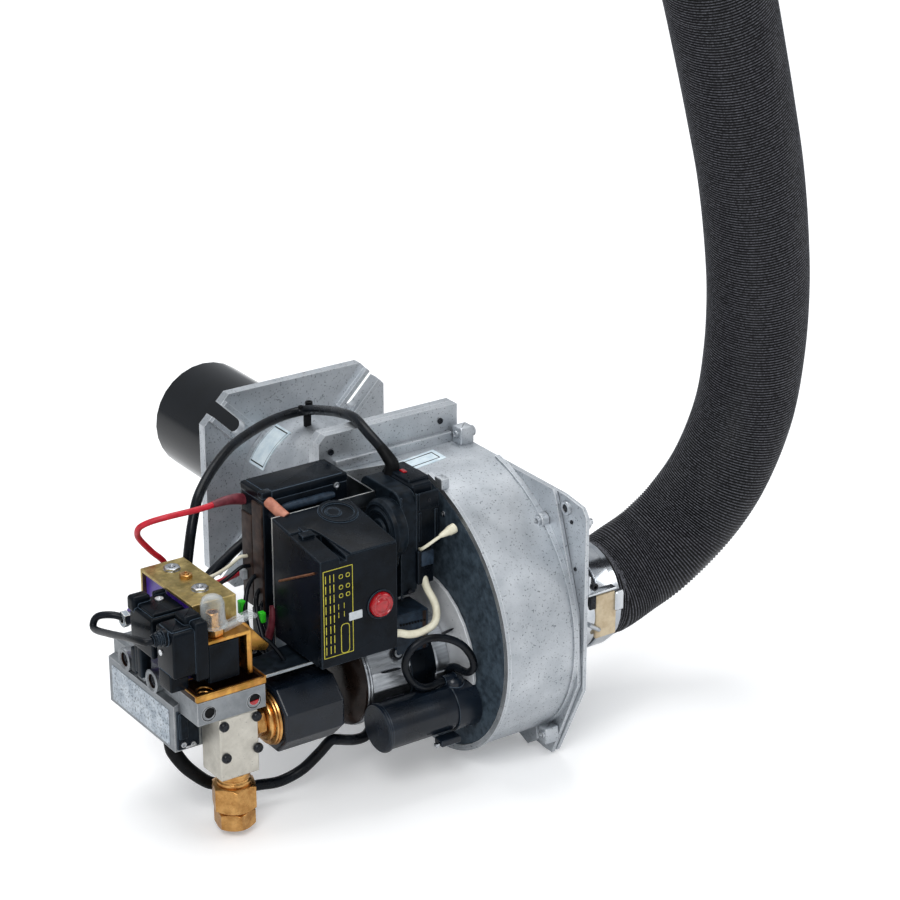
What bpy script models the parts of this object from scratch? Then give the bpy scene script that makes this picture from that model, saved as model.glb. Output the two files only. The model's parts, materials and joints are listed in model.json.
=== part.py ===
"""Forced-draught gas burner with fan housing, blast tube, valve train and air hose.

Sizes are in millimetres and MM turns them into metres. The origin is the middle of the
blast tube in the plane of the mounting flange that meets the boiler. +Y runs into the
boiler, +X runs along the fan shaft away from the motor, +Z is up.
"""
import bpy
import bmesh
from math import asin, atan2, cos, degrees, hypot, pi, radians, sin
from mathutils import Matrix, Vector

MM = 0.001
GAP = 0.3                  # clearance between pieces that touch
ROUND = 28                 # steps round a large turned piece
ROUND_SMALL = 12           # steps round a small one

# Mounting flange and blast tube
FLANGE_SIZE = 200.0
FLANGE_T = 10.0
FLANGE_CHAMFER = 27.0
FLANGE_SHIFT = -4.0        # the square's middle, left of the tube's axis
SLOT_WIDTH = 14.0
SLOT_RADIUS = 90.0         # from the tube's axis to the round end of a corner slot
RIB = 5.0                  # width and height of the rib beside a slot
TUBE_R = 56.0
TUBE_WALL = 2.0
TUBE_REACH = 178.0         # how far the blast tube stands into the boiler

# Neck casting and the joint flange between neck and fan housing
NECK_WALL = 4.0
NECK_INSET = 7.0           # joint flange's edge outside the neck's tube
NECK_LEN = 147.4
JOINT_W = 150.0
JOINT_T = 8.0
JOINT_ABOVE_NECK = 40.0    # joint flange's top edge above the neck's tube
JOINT_BELOW_NECK = 2.0     # and its bottom edge below it

# Fan housing: a scroll whose outer wall runs away from the shaft as it turns
SHAFT_DROP = 98.0          # shaft axis below the tube's axis
SHAFT_BACK = 66.3          # shaft axis behind the joint
RIM_X = 3.0                # motor-side rim of the housing
BAND_PAST_JOINT = 3.0      # housing's width more than half the joint flange
HOUSING_WALL = 4.0
SCROLL_START_R = 72.0
SCROLL_TOP_R = 172.0
SCROLL_START_DEG = -220.0
SCROLL_POWER = 2.1
SCROLL_STEPS = 40
OUTLET_STEP = 12.0         # depth of the widened outlet in front of the joint
INLET_R = 46.0
LUG_DEG = -51.0
LUG_REACH = 12.0

# Fan and motor
IMPELLER_R = 60.0
FAN_CLEARANCE = 16.0       # housing's width more than the impeller's
BLADES = 30
BLADE_DEPTH = 11.0
BLADE_T = 1.4
DISC_T = 2.0
SHAFT_R = 6.0
MOTOR_R = 46.5
MOTOR_LEN = 82.0
MOTOR_RIBS = 16
MOTOR_RIB_H = 1.6
MOTOR_FLANGE_R = 77.0
MOTOR_FLANGE_T = 8.0
BELL_LEN = 18.0
COVER_T = 3.0
CAPACITOR_R = 22.5
CAPACITOR_LEN = 98.0

# Air intake
PLATE_T = 4.0
PLATE_PROUD = 2.3          # plates' front edge in front of the scroll
PLATE_BELOW = 6.0          # plates' top edge below the scroll's
INTAKE_BOX_HALF = 58.0
INTAKE_BOX_DEPTH = 48.0
INTAKE_UP = 8.0            # intake axis above the shaft
SPIGOT_R = 48.0
SPIGOT_WALL = 3.0
SPIGOT_LEN = 36.0
HOSE_D = 94.0
HOSE_WALL = 2.0
HOSE_GRIP = 24.0           # length of spigot inside the hose
CLAMP_WIDTH = 12.0
CLAMP_T = 2.4
DAMPER_T = 2.0
SPINDLE_R = 3.0

# Bracket, control box, transformer, pressure switch
BRACKET_T = 1.5
BOX_SIZE = (78.0, 78.0, 101.0)
BOX_SLOPE = 12.0           # how far the box's top falls towards its front
BOX_LEFT = -158.0
BOX_BACK = -222.0
BOX_BOTTOM = -43.0
BUTTON_R = 11.5
BUTTON_TRAVEL = 3.0
BUTTON_PROUD = 5.0
TRANSFORMER_SIZE = (88.0, 35.5, 117.0)
SPACER_LEN = 18.0
SPACER_R = 5.5
SWITCH_T = 17.4
SWITCH_SIZE = (66.0, 102.0)
SWITCH_CORNER = 13.0

# Gas valve train
VALVE_SIZE = (70.0, 118.0, 62.0)
VALVE_LEFT = -274.0
VALVE_FRONT = -245.0
VALVE_BOTTOM = -112.0
YOKE_SIZE = (43.0, 92.0, 71.5)
YOKE_T = 3.0
ARMATURE_R = 6.0
ARMATURE_LEN = 30.0
ARMATURE_TRAVEL = 4.0
BLOCK_SIZE = (38.0, 33.0, 60.0)
TRAY_SIZE = (67.0, 33.0, 22.0)
TRAY_WALL = 3.0
TRAY_RIM = 7.0
UNION_HEX = 36.0           # across the flats of the union's body
UNION_NUT_HEX = 32.0
SIDE_COIL_R = 33.0
SIDE_COIL_LEN = 60.0
PIPE_D = 27.0

# Sizes and places worked out from the sizes above
NECK_R = JOINT_W / 2 - NECK_INSET
JOINT_TOP = NECK_R + JOINT_ABOVE_NECK
JOINT_BOTTOM = -NECK_R - JOINT_BELOW_NECK
BAND_WIDTH = JOINT_W / 2 + BAND_PAST_JOINT
IMPELLER_WIDTH = BAND_WIDTH - FAN_CLEARANCE
JOINT_Y = -FLANGE_T - GAP - NECK_LEN - GAP
SHAFT_Y = JOINT_Y - SHAFT_BACK
SHAFT_Z = -SHAFT_DROP
BACK_X = RIM_X + BAND_WIDTH
SCROLL_TOP_Z = SHAFT_Z + SCROLL_TOP_R
OUTLET_X = -JOINT_W / 2 + 8.0
PLATE1_X = BACK_X + GAP
PLATE2_X = PLATE1_X + PLATE_T + GAP
INTAKE_X = PLATE2_X + PLATE_T + GAP
INTAKE_Z = SHAFT_Z + INTAKE_UP
SPIGOT_X = INTAKE_X + INTAKE_BOX_DEPTH + GAP
HOSE_X = SPIGOT_X + SPIGOT_LEN + 2.0
MOTOR_X = RIM_X - GAP - MOTOR_FLANGE_T - GAP


def place_in(names):
    """Metres from a point in millimetres."""
    return Vector(names) * MM


def finish(name, mesh_maker, colour, roughness, metallic, origin=(0, 0, 0), angle=35.0):
    """Turn a bmesh in millimetres into a named object whose origin is at origin."""
    mesh_maker.normal_update()
    bmesh.ops.recalc_face_normals(mesh_maker, faces=mesh_maker.faces)
    shift = Matrix.Translation(-Vector(origin))
    bmesh.ops.transform(mesh_maker, matrix=Matrix.Scale(MM, 4) @ shift, verts=mesh_maker.verts)
    mesh = bpy.data.meshes.new(name)
    mesh_maker.to_mesh(mesh)
    mesh_maker.free()
    mesh.shade_smooth()
    mesh.set_sharp_from_angle(angle=radians(angle))
    thing = bpy.data.objects.new(name, mesh)
    thing.location = place_in(origin)
    bpy.context.scene.collection.objects.link(thing)
    if colour is not None:
        mesh.materials.append(finish_of(name, colour, roughness, metallic))
    return thing


def finish_of(name, colour, roughness, metallic):
    """A plain surface of one colour."""
    material = bpy.data.materials.new(name + "_finish")
    material.use_nodes = True
    shader = material.node_tree.nodes["Principled BSDF"]
    shader.inputs["Base Color"].default_value = (*colour, 1.0)
    shader.inputs["Roughness"].default_value = roughness
    shader.inputs["Metallic"].default_value = metallic
    return material


CAST = ((0.50, 0.51, 0.53), 0.5, 0.8)
STEEL = ((0.60, 0.60, 0.62), 0.35, 0.9)
ZINC = ((0.62, 0.62, 0.58), 0.4, 0.8)
YELLOW_ZINC = ((0.55, 0.40, 0.16), 0.35, 0.9)
BRASS = ((0.62, 0.38, 0.14), 0.35, 0.9)
BLACK = ((0.02, 0.02, 0.025), 0.4, 0.0)
DARK = ((0.05, 0.06, 0.08), 0.5, 0.0)
RUBBER = ((0.015, 0.015, 0.015), 0.6, 0.0)
BROWN = ((0.10, 0.05, 0.03), 0.5, 0.0)
VIOLET = ((0.16, 0.05, 0.40), 0.4, 0.0)
RED = ((0.6, 0.02, 0.03), 0.3, 0.0)
CREAM = ((0.75, 0.72, 0.55), 0.5, 0.0)
CLEAR = ((0.8, 0.8, 0.8), 0.1, 0.0)
CERAMIC = ((0.8, 0.8, 0.76), 0.3, 0.0)


def block(lo, hi, bevel=0.0, steps=1):
    """A box between two corners, its edges rounded by bevel."""
    made = bmesh.new()
    size = [b - a for a, b in zip(lo, hi)]
    centre = [(a + b) / 2 for a, b in zip(lo, hi)]
    bmesh.ops.create_cube(made, size=1.0)
    bmesh.ops.transform(made, matrix=Matrix.Diagonal((*size, 1.0)), verts=made.verts)
    if bevel:
        bmesh.ops.bevel(made, geom=made.edges[:], offset=bevel, segments=steps, affect="EDGES",
                        profile=0.5)
    bmesh.ops.translate(made, vec=centre, verts=made.verts)
    return made


def prism(axis, outline, lo, hi):
    """An outline swept straight along an axis from lo to hi."""
    made = bmesh.new()
    order = {"X": lambda u, v: (lo, u, v), "Y": lambda u, v: (u, lo, v), "Z": lambda u, v: (u, v, lo)}[axis]
    along = {"X": (hi - lo, 0, 0), "Y": (0, hi - lo, 0), "Z": (0, 0, hi - lo)}[axis]
    face = made.faces.new([made.verts.new(order(u, v)) for u, v in outline])
    grown = bmesh.ops.extrude_face_region(made, geom=[face])
    bmesh.ops.translate(made, vec=along, verts=[v for v in grown["geom"] if isinstance(v, bmesh.types.BMVert)])
    return made


def turned(axis, centre, profile, steps=ROUND, phase=0.0):
    """A profile of (along, radius) points turned about an axis through centre."""
    made = bmesh.new()
    direction = {"X": Vector((1, 0, 0)), "Y": Vector((0, 1, 0)), "Z": Vector((0, 0, 1))}[axis]
    side = {"X": Vector((0, 1, 0)), "Y": Vector((0, 0, 1)), "Z": Vector((1, 0, 0))}[axis]
    side = Matrix.Rotation(phase, 3, direction) @ side
    verts = [made.verts.new(Vector(centre) + direction * a + side * r) for a, r in profile]
    pairs = [(i, (i + 1) % len(verts)) for i in range(len(verts))]
    edges = [made.edges.new((verts[i], verts[j])) for i, j in pairs if profile[i][1] or profile[j][1]]
    bmesh.ops.spin(made, geom=verts + edges, cent=centre, axis=direction, angle=2 * pi, steps=steps)
    bmesh.ops.remove_doubles(made, verts=made.verts, dist=0.001)
    bmesh.ops.dissolve_degenerate(made, edges=made.edges, dist=0.001)
    return made


def rod(axis, centre, lo, hi, radius, steps=ROUND_SMALL, phase=0.0, chamfer=0.0):
    """A plain bar along an axis from lo to hi, measured from centre."""
    profile = [(lo, 0), (lo, radius - chamfer), (lo + chamfer, radius), (hi - chamfer, radius),
               (hi, radius - chamfer), (hi, 0)]
    if not chamfer:
        profile = [(lo, 0), (lo, radius), (hi, radius), (hi, 0)]
    return turned(axis, centre, profile, steps, phase)


def sleeve(axis, centre, lo, hi, outer, inner, steps=ROUND, phase=0.0):
    """A hollow bar open at both ends."""
    return turned(axis, centre, [(lo, inner), (lo, outer), (hi, outer), (hi, inner)], steps, phase)


def rounded(width, height, corner, steps=5, centre=(0.0, 0.0)):
    """Outline of a rectangle with round corners."""
    points = []
    for cx, cy, start in ((1, 1, 0), (-1, 1, 90), (-1, -1, 180), (1, -1, 270)):
        for i in range(steps + 1):
            turn = radians(start + 90.0 * i / steps)
            points.append((centre[0] + cx * (width / 2 - corner) + corner * cos(turn),
                           centre[1] + cy * (height / 2 - corner) + corner * sin(turn)))
    return points


def helper(made, label):
    """A hidden solid that a Boolean uses."""
    thing = finish(label, made, None, 0, 0)
    thing.hide_render = True
    thing.display_type = "WIRE"
    return thing


def combine(target, made, operation="DIFFERENCE"):
    """Cut a solid out of target, or join it on."""
    count = len(target.modifiers)
    tool = helper(made, target.name + "_" + operation.lower() + str(count))
    step = target.modifiers.new(operation.title() + str(count), "BOOLEAN")
    step.operation = operation
    step.solver = "EXACT"
    step.object = tool
    if any(target.location):
        tool.matrix_world = Matrix.Identity(4)


def smooth_route(points, count):
    """A smooth curve through a route's points, evenly spaced, its first and last stretch straight."""
    knots = [Vector(p) for p in points]
    fine = []
    for i in range(1, len(knots) - 2):
        a, b, c, d = knots[i - 1:i + 3]
        for j in range(20):
            t = j / 20
            fine.append(0.5 * ((2 * b) + (c - a) * t + (2 * a - 5 * b + 4 * c - d) * t * t
                               + (3 * b - a - 3 * c + d) * t ** 3))
    fine.append(knots[-2])
    lengths = [0.0]
    for p, q in zip(fine, fine[1:]):
        lengths.append(lengths[-1] + (q - p).length)
    out = [knots[0]]
    k = 0
    for i in range(count - 2):
        wanted = lengths[-1] * i / (count - 3)
        while k < len(lengths) - 2 and lengths[k + 1] < wanted:
            k += 1
        part = (wanted - lengths[k]) / max(lengths[k + 1] - lengths[k], 1e-9)
        out.append(fine[k].lerp(fine[k + 1], min(max(part, 0.0), 1.0)))
    return out + [knots[-1]]


def cable(name, points, diameter, finish_values, count, resolution=2):
    """A cord along a smooth route, closed at both ends."""
    curve = bpy.data.curves.new(name, "CURVE")
    curve.dimensions = "3D"
    curve.bevel_depth = diameter / 2 * MM
    curve.bevel_resolution = resolution
    curve.use_fill_caps = True
    spline = curve.splines.new("POLY")
    route = smooth_route(points, count)
    spline.points.add(len(route) - 1)
    for point, place in zip(spline.points, route):
        point.co = (*(place * MM), 1.0)
    thing = bpy.data.objects.new(name, curve)
    curve.materials.append(finish_of(name, *finish_values))
    bpy.context.scene.collection.objects.link(thing)
    return thing


def scroll_radius(turn):
    """Outside radius of the scroll, turn in degrees from straight back (-Y), upwards positive."""
    share = max(turn - SCROLL_START_DEG, 0.0) / (90.0 - SCROLL_START_DEG)
    return SCROLL_START_R + (SCROLL_TOP_R - SCROLL_START_R) * share ** SCROLL_POWER


def scroll_point(turn, inset):
    radius = scroll_radius(turn) - inset
    return (SHAFT_Y - radius * cos(radians(turn)), SHAFT_Z + radius * sin(radians(turn)))


def scroll_outline(inset, floor_z, end_y, start, steps=SCROLL_STEPS):
    """The scroll with its straight outlet, as (y, z) points."""
    turns = [start + (90.0 - start) * i / steps for i in range(steps + 1)]
    curve = [scroll_point(t, inset) for t in turns]
    return [(end_y, floor_z)] + curve + [(end_y, SCROLL_TOP_Z - inset)]


OUTLET_FLOOR = scroll_point(SCROLL_START_DEG, 0.0)[1]
INNER_START = -180.0 - degrees(asin((OUTLET_FLOOR + HOUSING_WALL - SHAFT_Z)
                                    / (SCROLL_START_R - HOUSING_WALL)))


def build_flange_and_tube():
    half = FLANGE_SIZE / 2
    cut = FLANGE_CHAMFER
    corners = [(half - cut, half), (-half + cut, half), (-half, half - cut), (-half, -half + cut),
               (-half + cut, -half), (half - cut, -half), (half, -half + cut), (half, half - cut)]
    corners = [(x + FLANGE_SHIFT, z) for x, z in corners]
    plate = finish("mounting_flange", prism("Y", corners, -FLANGE_T, 0), *CAST)
    reach = hypot(half - cut / 2, half - cut / 2) - 0.5
    for quarter in range(4):
        turn = radians(45 + 90 * quarter)
        swing = Matrix.Rotation(-turn, 4, "Y")
        for side in (-1, 1):
            middle = side * (SLOT_WIDTH / 2 + RIB / 2 - 0.01)
            rib = block((SLOT_RADIUS - SLOT_WIDTH, -FLANGE_T - RIB, middle - RIB / 2),
                        (reach, -FLANGE_T + 1, middle + RIB / 2))
            bmesh.ops.transform(rib, matrix=swing, verts=rib.verts)
            bmesh.ops.translate(rib, vec=(FLANGE_SHIFT, 0, 0), verts=rib.verts)
            combine(plate, rib, "UNION")
    for quarter in range(4):
        turn = radians(45 + 90 * quarter)
        swing = Matrix.Rotation(-turn, 4, "Y")
        bend = [(SLOT_RADIUS + SLOT_WIDTH / 2 * cos(radians(a)), SLOT_WIDTH / 2 * sin(radians(a)))
                for a in range(90, 271, 30)]
        outline = bend + [(half * 2, -SLOT_WIDTH / 2), (half * 2, SLOT_WIDTH / 2)]
        slot = prism("Y", outline, -FLANGE_T - RIB - 1, 1)
        bmesh.ops.transform(slot, matrix=swing, verts=slot.verts)
        bmesh.ops.translate(slot, vec=(FLANGE_SHIFT, 0, 0), verts=slot.verts)
        combine(plate, slot)
    combine(plate, rod("Y", (0, 0, 0), -FLANGE_T - 1, 1, TUBE_R + GAP, ROUND))
    finish("blast_tube", turned("Y", (0, 0, 0), [
        (-FLANGE_T, TUBE_R - TUBE_WALL), (-FLANGE_T, TUBE_R), (TUBE_REACH - 1, TUBE_R),
        (TUBE_REACH, TUBE_R - 1), (TUBE_REACH, TUBE_R - TUBE_WALL)]), *BLACK)


def build_neck():
    back = -FLANGE_T - GAP
    joint_front = JOINT_Y + GAP + JOINT_T
    neck = finish("burner_neck", turned("Y", (0, 0, 0), [
        (back, NECK_R - NECK_WALL), (back, NECK_R), (joint_front - 1, NECK_R),
        (joint_front - 1, NECK_R - NECK_WALL)]), *CAST)
    outline = joint_outline()
    combine(neck, prism("Y", outline, JOINT_Y + GAP, joint_front), "UNION")
    combine(neck, rod("Y", (0, 0, 0), JOINT_Y - 1, back - 5, NECK_R - NECK_WALL, ROUND))
    for side in (-1, 1):
        gusset = prism("X", [(joint_front - 1, NECK_R * 0.55), (joint_front - 1, JOINT_TOP - 12),
                             (joint_front + 3, JOINT_TOP - 12), (joint_front + 45, NECK_R * 0.75),
                             (joint_front + 45, NECK_R * 0.55)],
                       side * NECK_R / 2 - 2.5, side * NECK_R / 2 + 2.5)
        combine(neck, gusset, "UNION")
    boss = rod("Z", (GAS_PIPE_TOP[0], GAS_PIPE_TOP[1], 0), -NECK_R - 6, -NECK_R + 3, PIPE_D / 2 + 5, ROUND_SMALL)
    combine(neck, boss, "UNION")
    combine(neck, rod("Z", (GAS_PIPE_TOP[0], GAS_PIPE_TOP[1], 0), -NECK_R - 7, -NECK_R / 2,
                      PIPE_D / 2 - 3, ROUND_SMALL))


def joint_outline():
    half = JOINT_W / 2
    cut = 7.0
    return [(half, JOINT_BOTTOM + cut), (half, JOINT_TOP - 1), (half - 1, JOINT_TOP),
            (-half + cut, JOINT_TOP), (-half, JOINT_TOP - cut), (-half, JOINT_BOTTOM + cut),
            (-half + cut, JOINT_BOTTOM), (half - cut, JOINT_BOTTOM)]


def build_housing():
    wall = HOUSING_WALL
    housing = finish("volute_housing", prism("X", scroll_outline(0.0, OUTLET_FLOOR, JOINT_Y, SCROLL_START_DEG),
                                             RIM_X, BACK_X), *CAST)
    combine(housing, prism("Y", joint_outline(), JOINT_Y - JOINT_T, JOINT_Y), "UNION")
    step_back = JOINT_Y - JOINT_T - OUTLET_STEP
    wedge = [(BACK_X - 5, step_back - 8), (BACK_X - 5, JOINT_Y - 1), (OUTLET_X, JOINT_Y - 1),
             (OUTLET_X, step_back + 6), (RIM_X, step_back - 8)]
    combine(housing, prism("Z", wedge, OUTLET_FLOOR, SCROLL_TOP_Z - 0.4), "UNION")
    ear_y, ear_z = lower_lug_centre()
    foot = scroll_point(LUG_DEG, 3.0)
    across = (sin(radians(LUG_DEG)), cos(radians(LUG_DEG)))
    ear = [(foot[0] + across[0] * 18, foot[1] + across[1] * 18), (foot[0] - across[0] * 18, foot[1] - across[1] * 18),
           (ear_y - across[0] * 9, ear_z - across[1] * 9), (ear_y + across[0] * 9, ear_z + across[1] * 9)]
    combine(housing, prism("X", ear, BACK_X - 10, BACK_X), "UNION")
    lug = block((BACK_X - 10, JOINT_Y - JOINT_T - 14, SCROLL_TOP_Z - 6),
                (BACK_X, JOINT_Y - JOINT_T + 2, SCROLL_TOP_Z + 12), 2.0)
    combine(housing, lug, "UNION")
    inner = scroll_outline(wall, OUTLET_FLOOR + wall, JOINT_Y + 1, INNER_START)
    combine(housing, prism("X", inner, RIM_X - 1, BACK_X - wall))
    hollow = [(BACK_X - 6, step_back - 3), (BACK_X - 6, JOINT_Y + 1), (OUTLET_X + wall, JOINT_Y + 1),
              (OUTLET_X + wall, step_back + 6 + wall), (RIM_X - 0.5, step_back - 3)]
    combine(housing, prism("Z", hollow, OUTLET_FLOOR + wall, SCROLL_TOP_Z - wall - 0.4))
    combine(housing, rod("X", (0, SHAFT_Y, SHAFT_Z), BACK_X - wall - 1, BACK_X + 1, INLET_R, ROUND))

    cover = finish("motor_side_cover", prism("X", scroll_outline(wall + GAP, OUTLET_FLOOR + wall + GAP,
                                                                 JOINT_Y, INNER_START),
                                             RIM_X, RIM_X + COVER_T), *DARK)
    combine(cover, block((RIM_X - 1, step_back - 8 - GAP, OUTLET_FLOOR - GAP),
                         (RIM_X + COVER_T + 1, JOINT_Y + 5, SCROLL_TOP_Z)))
    combine(cover, rod("X", (0, SHAFT_Y, SHAFT_Z), RIM_X - 1, RIM_X + COVER_T + 1, SHAFT_R * 2, ROUND_SMALL))


def lower_lug_centre():
    """Middle of the lug under the scroll that the inlet plates' lower ends are screwed to."""
    return scroll_point(LUG_DEG, -LUG_REACH)


def build_fan():
    start = RIM_X + COVER_T + 3.0
    centre = (0, SHAFT_Y, SHAFT_Z)
    end = start + IMPELLER_WIDTH
    fan = finish("impeller", turned("X", centre, [
        (start, SHAFT_R + GAP), (start, IMPELLER_R), (start + DISC_T, IMPELLER_R),
        (start + DISC_T, 16), (start + 24, 13), (start + 24, SHAFT_R + GAP)]), *STEEL, origin=centre)
    ring_in = IMPELLER_R - BLADE_DEPTH
    combine(fan, sleeve("X", centre, end - DISC_T, end, IMPELLER_R, ring_in), "UNION")
    blades = bmesh.new()
    for number in range(BLADES):
        turn = 2 * pi * number / BLADES
        arc = []
        for i in range(3):
            share = i / 2
            radius = ring_in + 0.5 + (BLADE_DEPTH - 1.0) * share
            lean = turn + radians(7.0) * sin(share * pi / 2) ** 2
            arc.append((radius, lean))
        near = [(r * cos(a), r * sin(a)) for r, a in arc]
        far = [(r * cos(a + BLADE_T / r), r * sin(a + BLADE_T / r)) for r, a in reversed(arc)]
        outline = [(SHAFT_Y + u, SHAFT_Z + v) for u, v in near + far]
        blade = prism("X", outline, start + DISC_T / 2, end - DISC_T / 2)
        holder = bpy.data.meshes.new("blade")
        bmesh.ops.recalc_face_normals(blade, faces=blade.faces)
        blade.to_mesh(holder)
        blade.free()
        blades.from_mesh(holder)
        bpy.data.meshes.remove(holder)
    combine(fan, blades, "UNION")
    shaft_from = MOTOR_X - MOTOR_LEN - GAP - BELL_LEN + 6
    finish("motor_shaft", rod("X", centre, shaft_from, end - 4, SHAFT_R, ROUND_SMALL, chamfer=1.0),
           *STEEL, origin=centre)


def build_motor():
    centre = (0, SHAFT_Y, SHAFT_Z)
    bore = SHAFT_R + GAP
    reach = MOTOR_R + CAPACITOR_R + GAP
    turn = radians(22.0)
    middle = (0, SHAFT_Y - reach * cos(turn), SHAFT_Z - reach * sin(turn))
    right = RIM_X - GAP
    flange = finish("motor_flange", turned("X", centre, [
        (right - MOTOR_FLANGE_T, bore), (right - MOTOR_FLANGE_T, MOTOR_R + 8), (right - 4, MOTOR_FLANGE_R - 3),
        (right - 3, MOTOR_FLANGE_R), (right, MOTOR_FLANGE_R), (right, bore)]), *CAST)
    combine(flange, rod("X", middle, right - MOTOR_FLANGE_T - 1, right + 1, CAPACITOR_R + 1, 32))
    flat_y = JOINT_Y - JOINT_T - OUTLET_STEP - 8 - 1.0
    combine(flange, block((right - 20, flat_y, SHAFT_Z - 100), (right + 20, flat_y + 100, SHAFT_Z + 100)))
    left = MOTOR_X - MOTOR_LEN
    outline = []
    steps = MOTOR_RIBS * 6
    for i in range(steps):
        turn = 2 * pi * i / steps
        radius = MOTOR_R - (0 if i % 6 in (0, 1) else MOTOR_RIB_H)
        outline.append((SHAFT_Y + radius * cos(turn), SHAFT_Z + radius * sin(turn)))
    body = finish("motor_body", prism("X", outline, left, MOTOR_X), *STEEL)
    combine(body, rod("X", centre, left - 1, MOTOR_X + 1, bore, ROUND_SMALL))
    end = left - GAP
    finish("motor_end_bell", turned("X", centre, [
        (end - BELL_LEN, 0), (end - BELL_LEN, MOTOR_R - 14), (end - BELL_LEN + 5, MOTOR_R - 4),
        (end - 7, MOTOR_R), (end - 4, MOTOR_R), (end - 4, MOTOR_R - 2), (end - 2, MOTOR_R - 2),
        (end - 2, MOTOR_R), (end, MOTOR_R), (end, bore), (end - BELL_LEN + 5, bore),
        (end - BELL_LEN + 5, 0)]), *BROWN)
    cap = finish("capacitor", turned("X", middle, [
        (right - CAPACITOR_LEN, 0), (right - CAPACITOR_LEN, CAPACITOR_R - 2.5),
        (right - CAPACITOR_LEN + 1, CAPACITOR_R - 1), (right - 14, CAPACITOR_R - 1),
        (right - 14, CAPACITOR_R - 1.6), (right - 13, CAPACITOR_R - 1.6), (right - 13, CAPACITOR_R),
        (right - 1, CAPACITOR_R), (right, CAPACITOR_R - 1), (right, 0)], 24), *BLACK)
    crown = middle[2] + CAPACITOR_R
    combine(cap, rod("Z", (right - 16.5, middle[1], 0), crown - 4, crown + 6, 7.5, ROUND_SMALL, chamfer=2.5), "UNION")
    outlet = (right - 27, middle[1], crown + 4.4)
    combine(cap, rod("X", outlet, 0, 12, 4.6, 16), "UNION")
    y, z = outlet[1], crown
    cable("capacitor_cable", [
        (outlet[0] - 0.8, *outlet[1:]), (outlet[0] - 5, y, outlet[2] + 0.2), (outlet[0] - 14, y - 0.5, z + 3.4),
        (-49, y - 1, z + 6), (-61, y - 2, z + 17), (-67.5, y - 3, z + 34), (-62, y - 5, z + 49), (-48, y - 8, z + 56),
        (-31, y - 12, z + 54), (-17, y - 17, z + 46), (-9, y - 21, z + 34), (-7, y - 22.5, z + 23),
        (-8.5, y - 17, z + 16), (-9.5, y - 8, z + 14), (-10.5, y + 1, z + 14), (-12, y + 7.5, z + 11.5),
        (-12.5, y + 10.5, z + 7.5), (-10.5, y + 11, z + 5), (MOTOR_X - 0.7, y + 11, z + 5)],
        7.0, RUBBER, 26)
    roof = (SHAFT_Y - 26.0, SHAFT_Z + MOTOR_R)
    saddle = finish("motor_terminal_block", block((-58, roof[0] - 16, roof[1] - 22), (-24, roof[0] + 16, roof[1] + 18),
                                                  2.0), *DARK)
    combine(saddle, rod("X", centre, -70, 0, MOTOR_R + GAP, ROUND))


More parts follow.
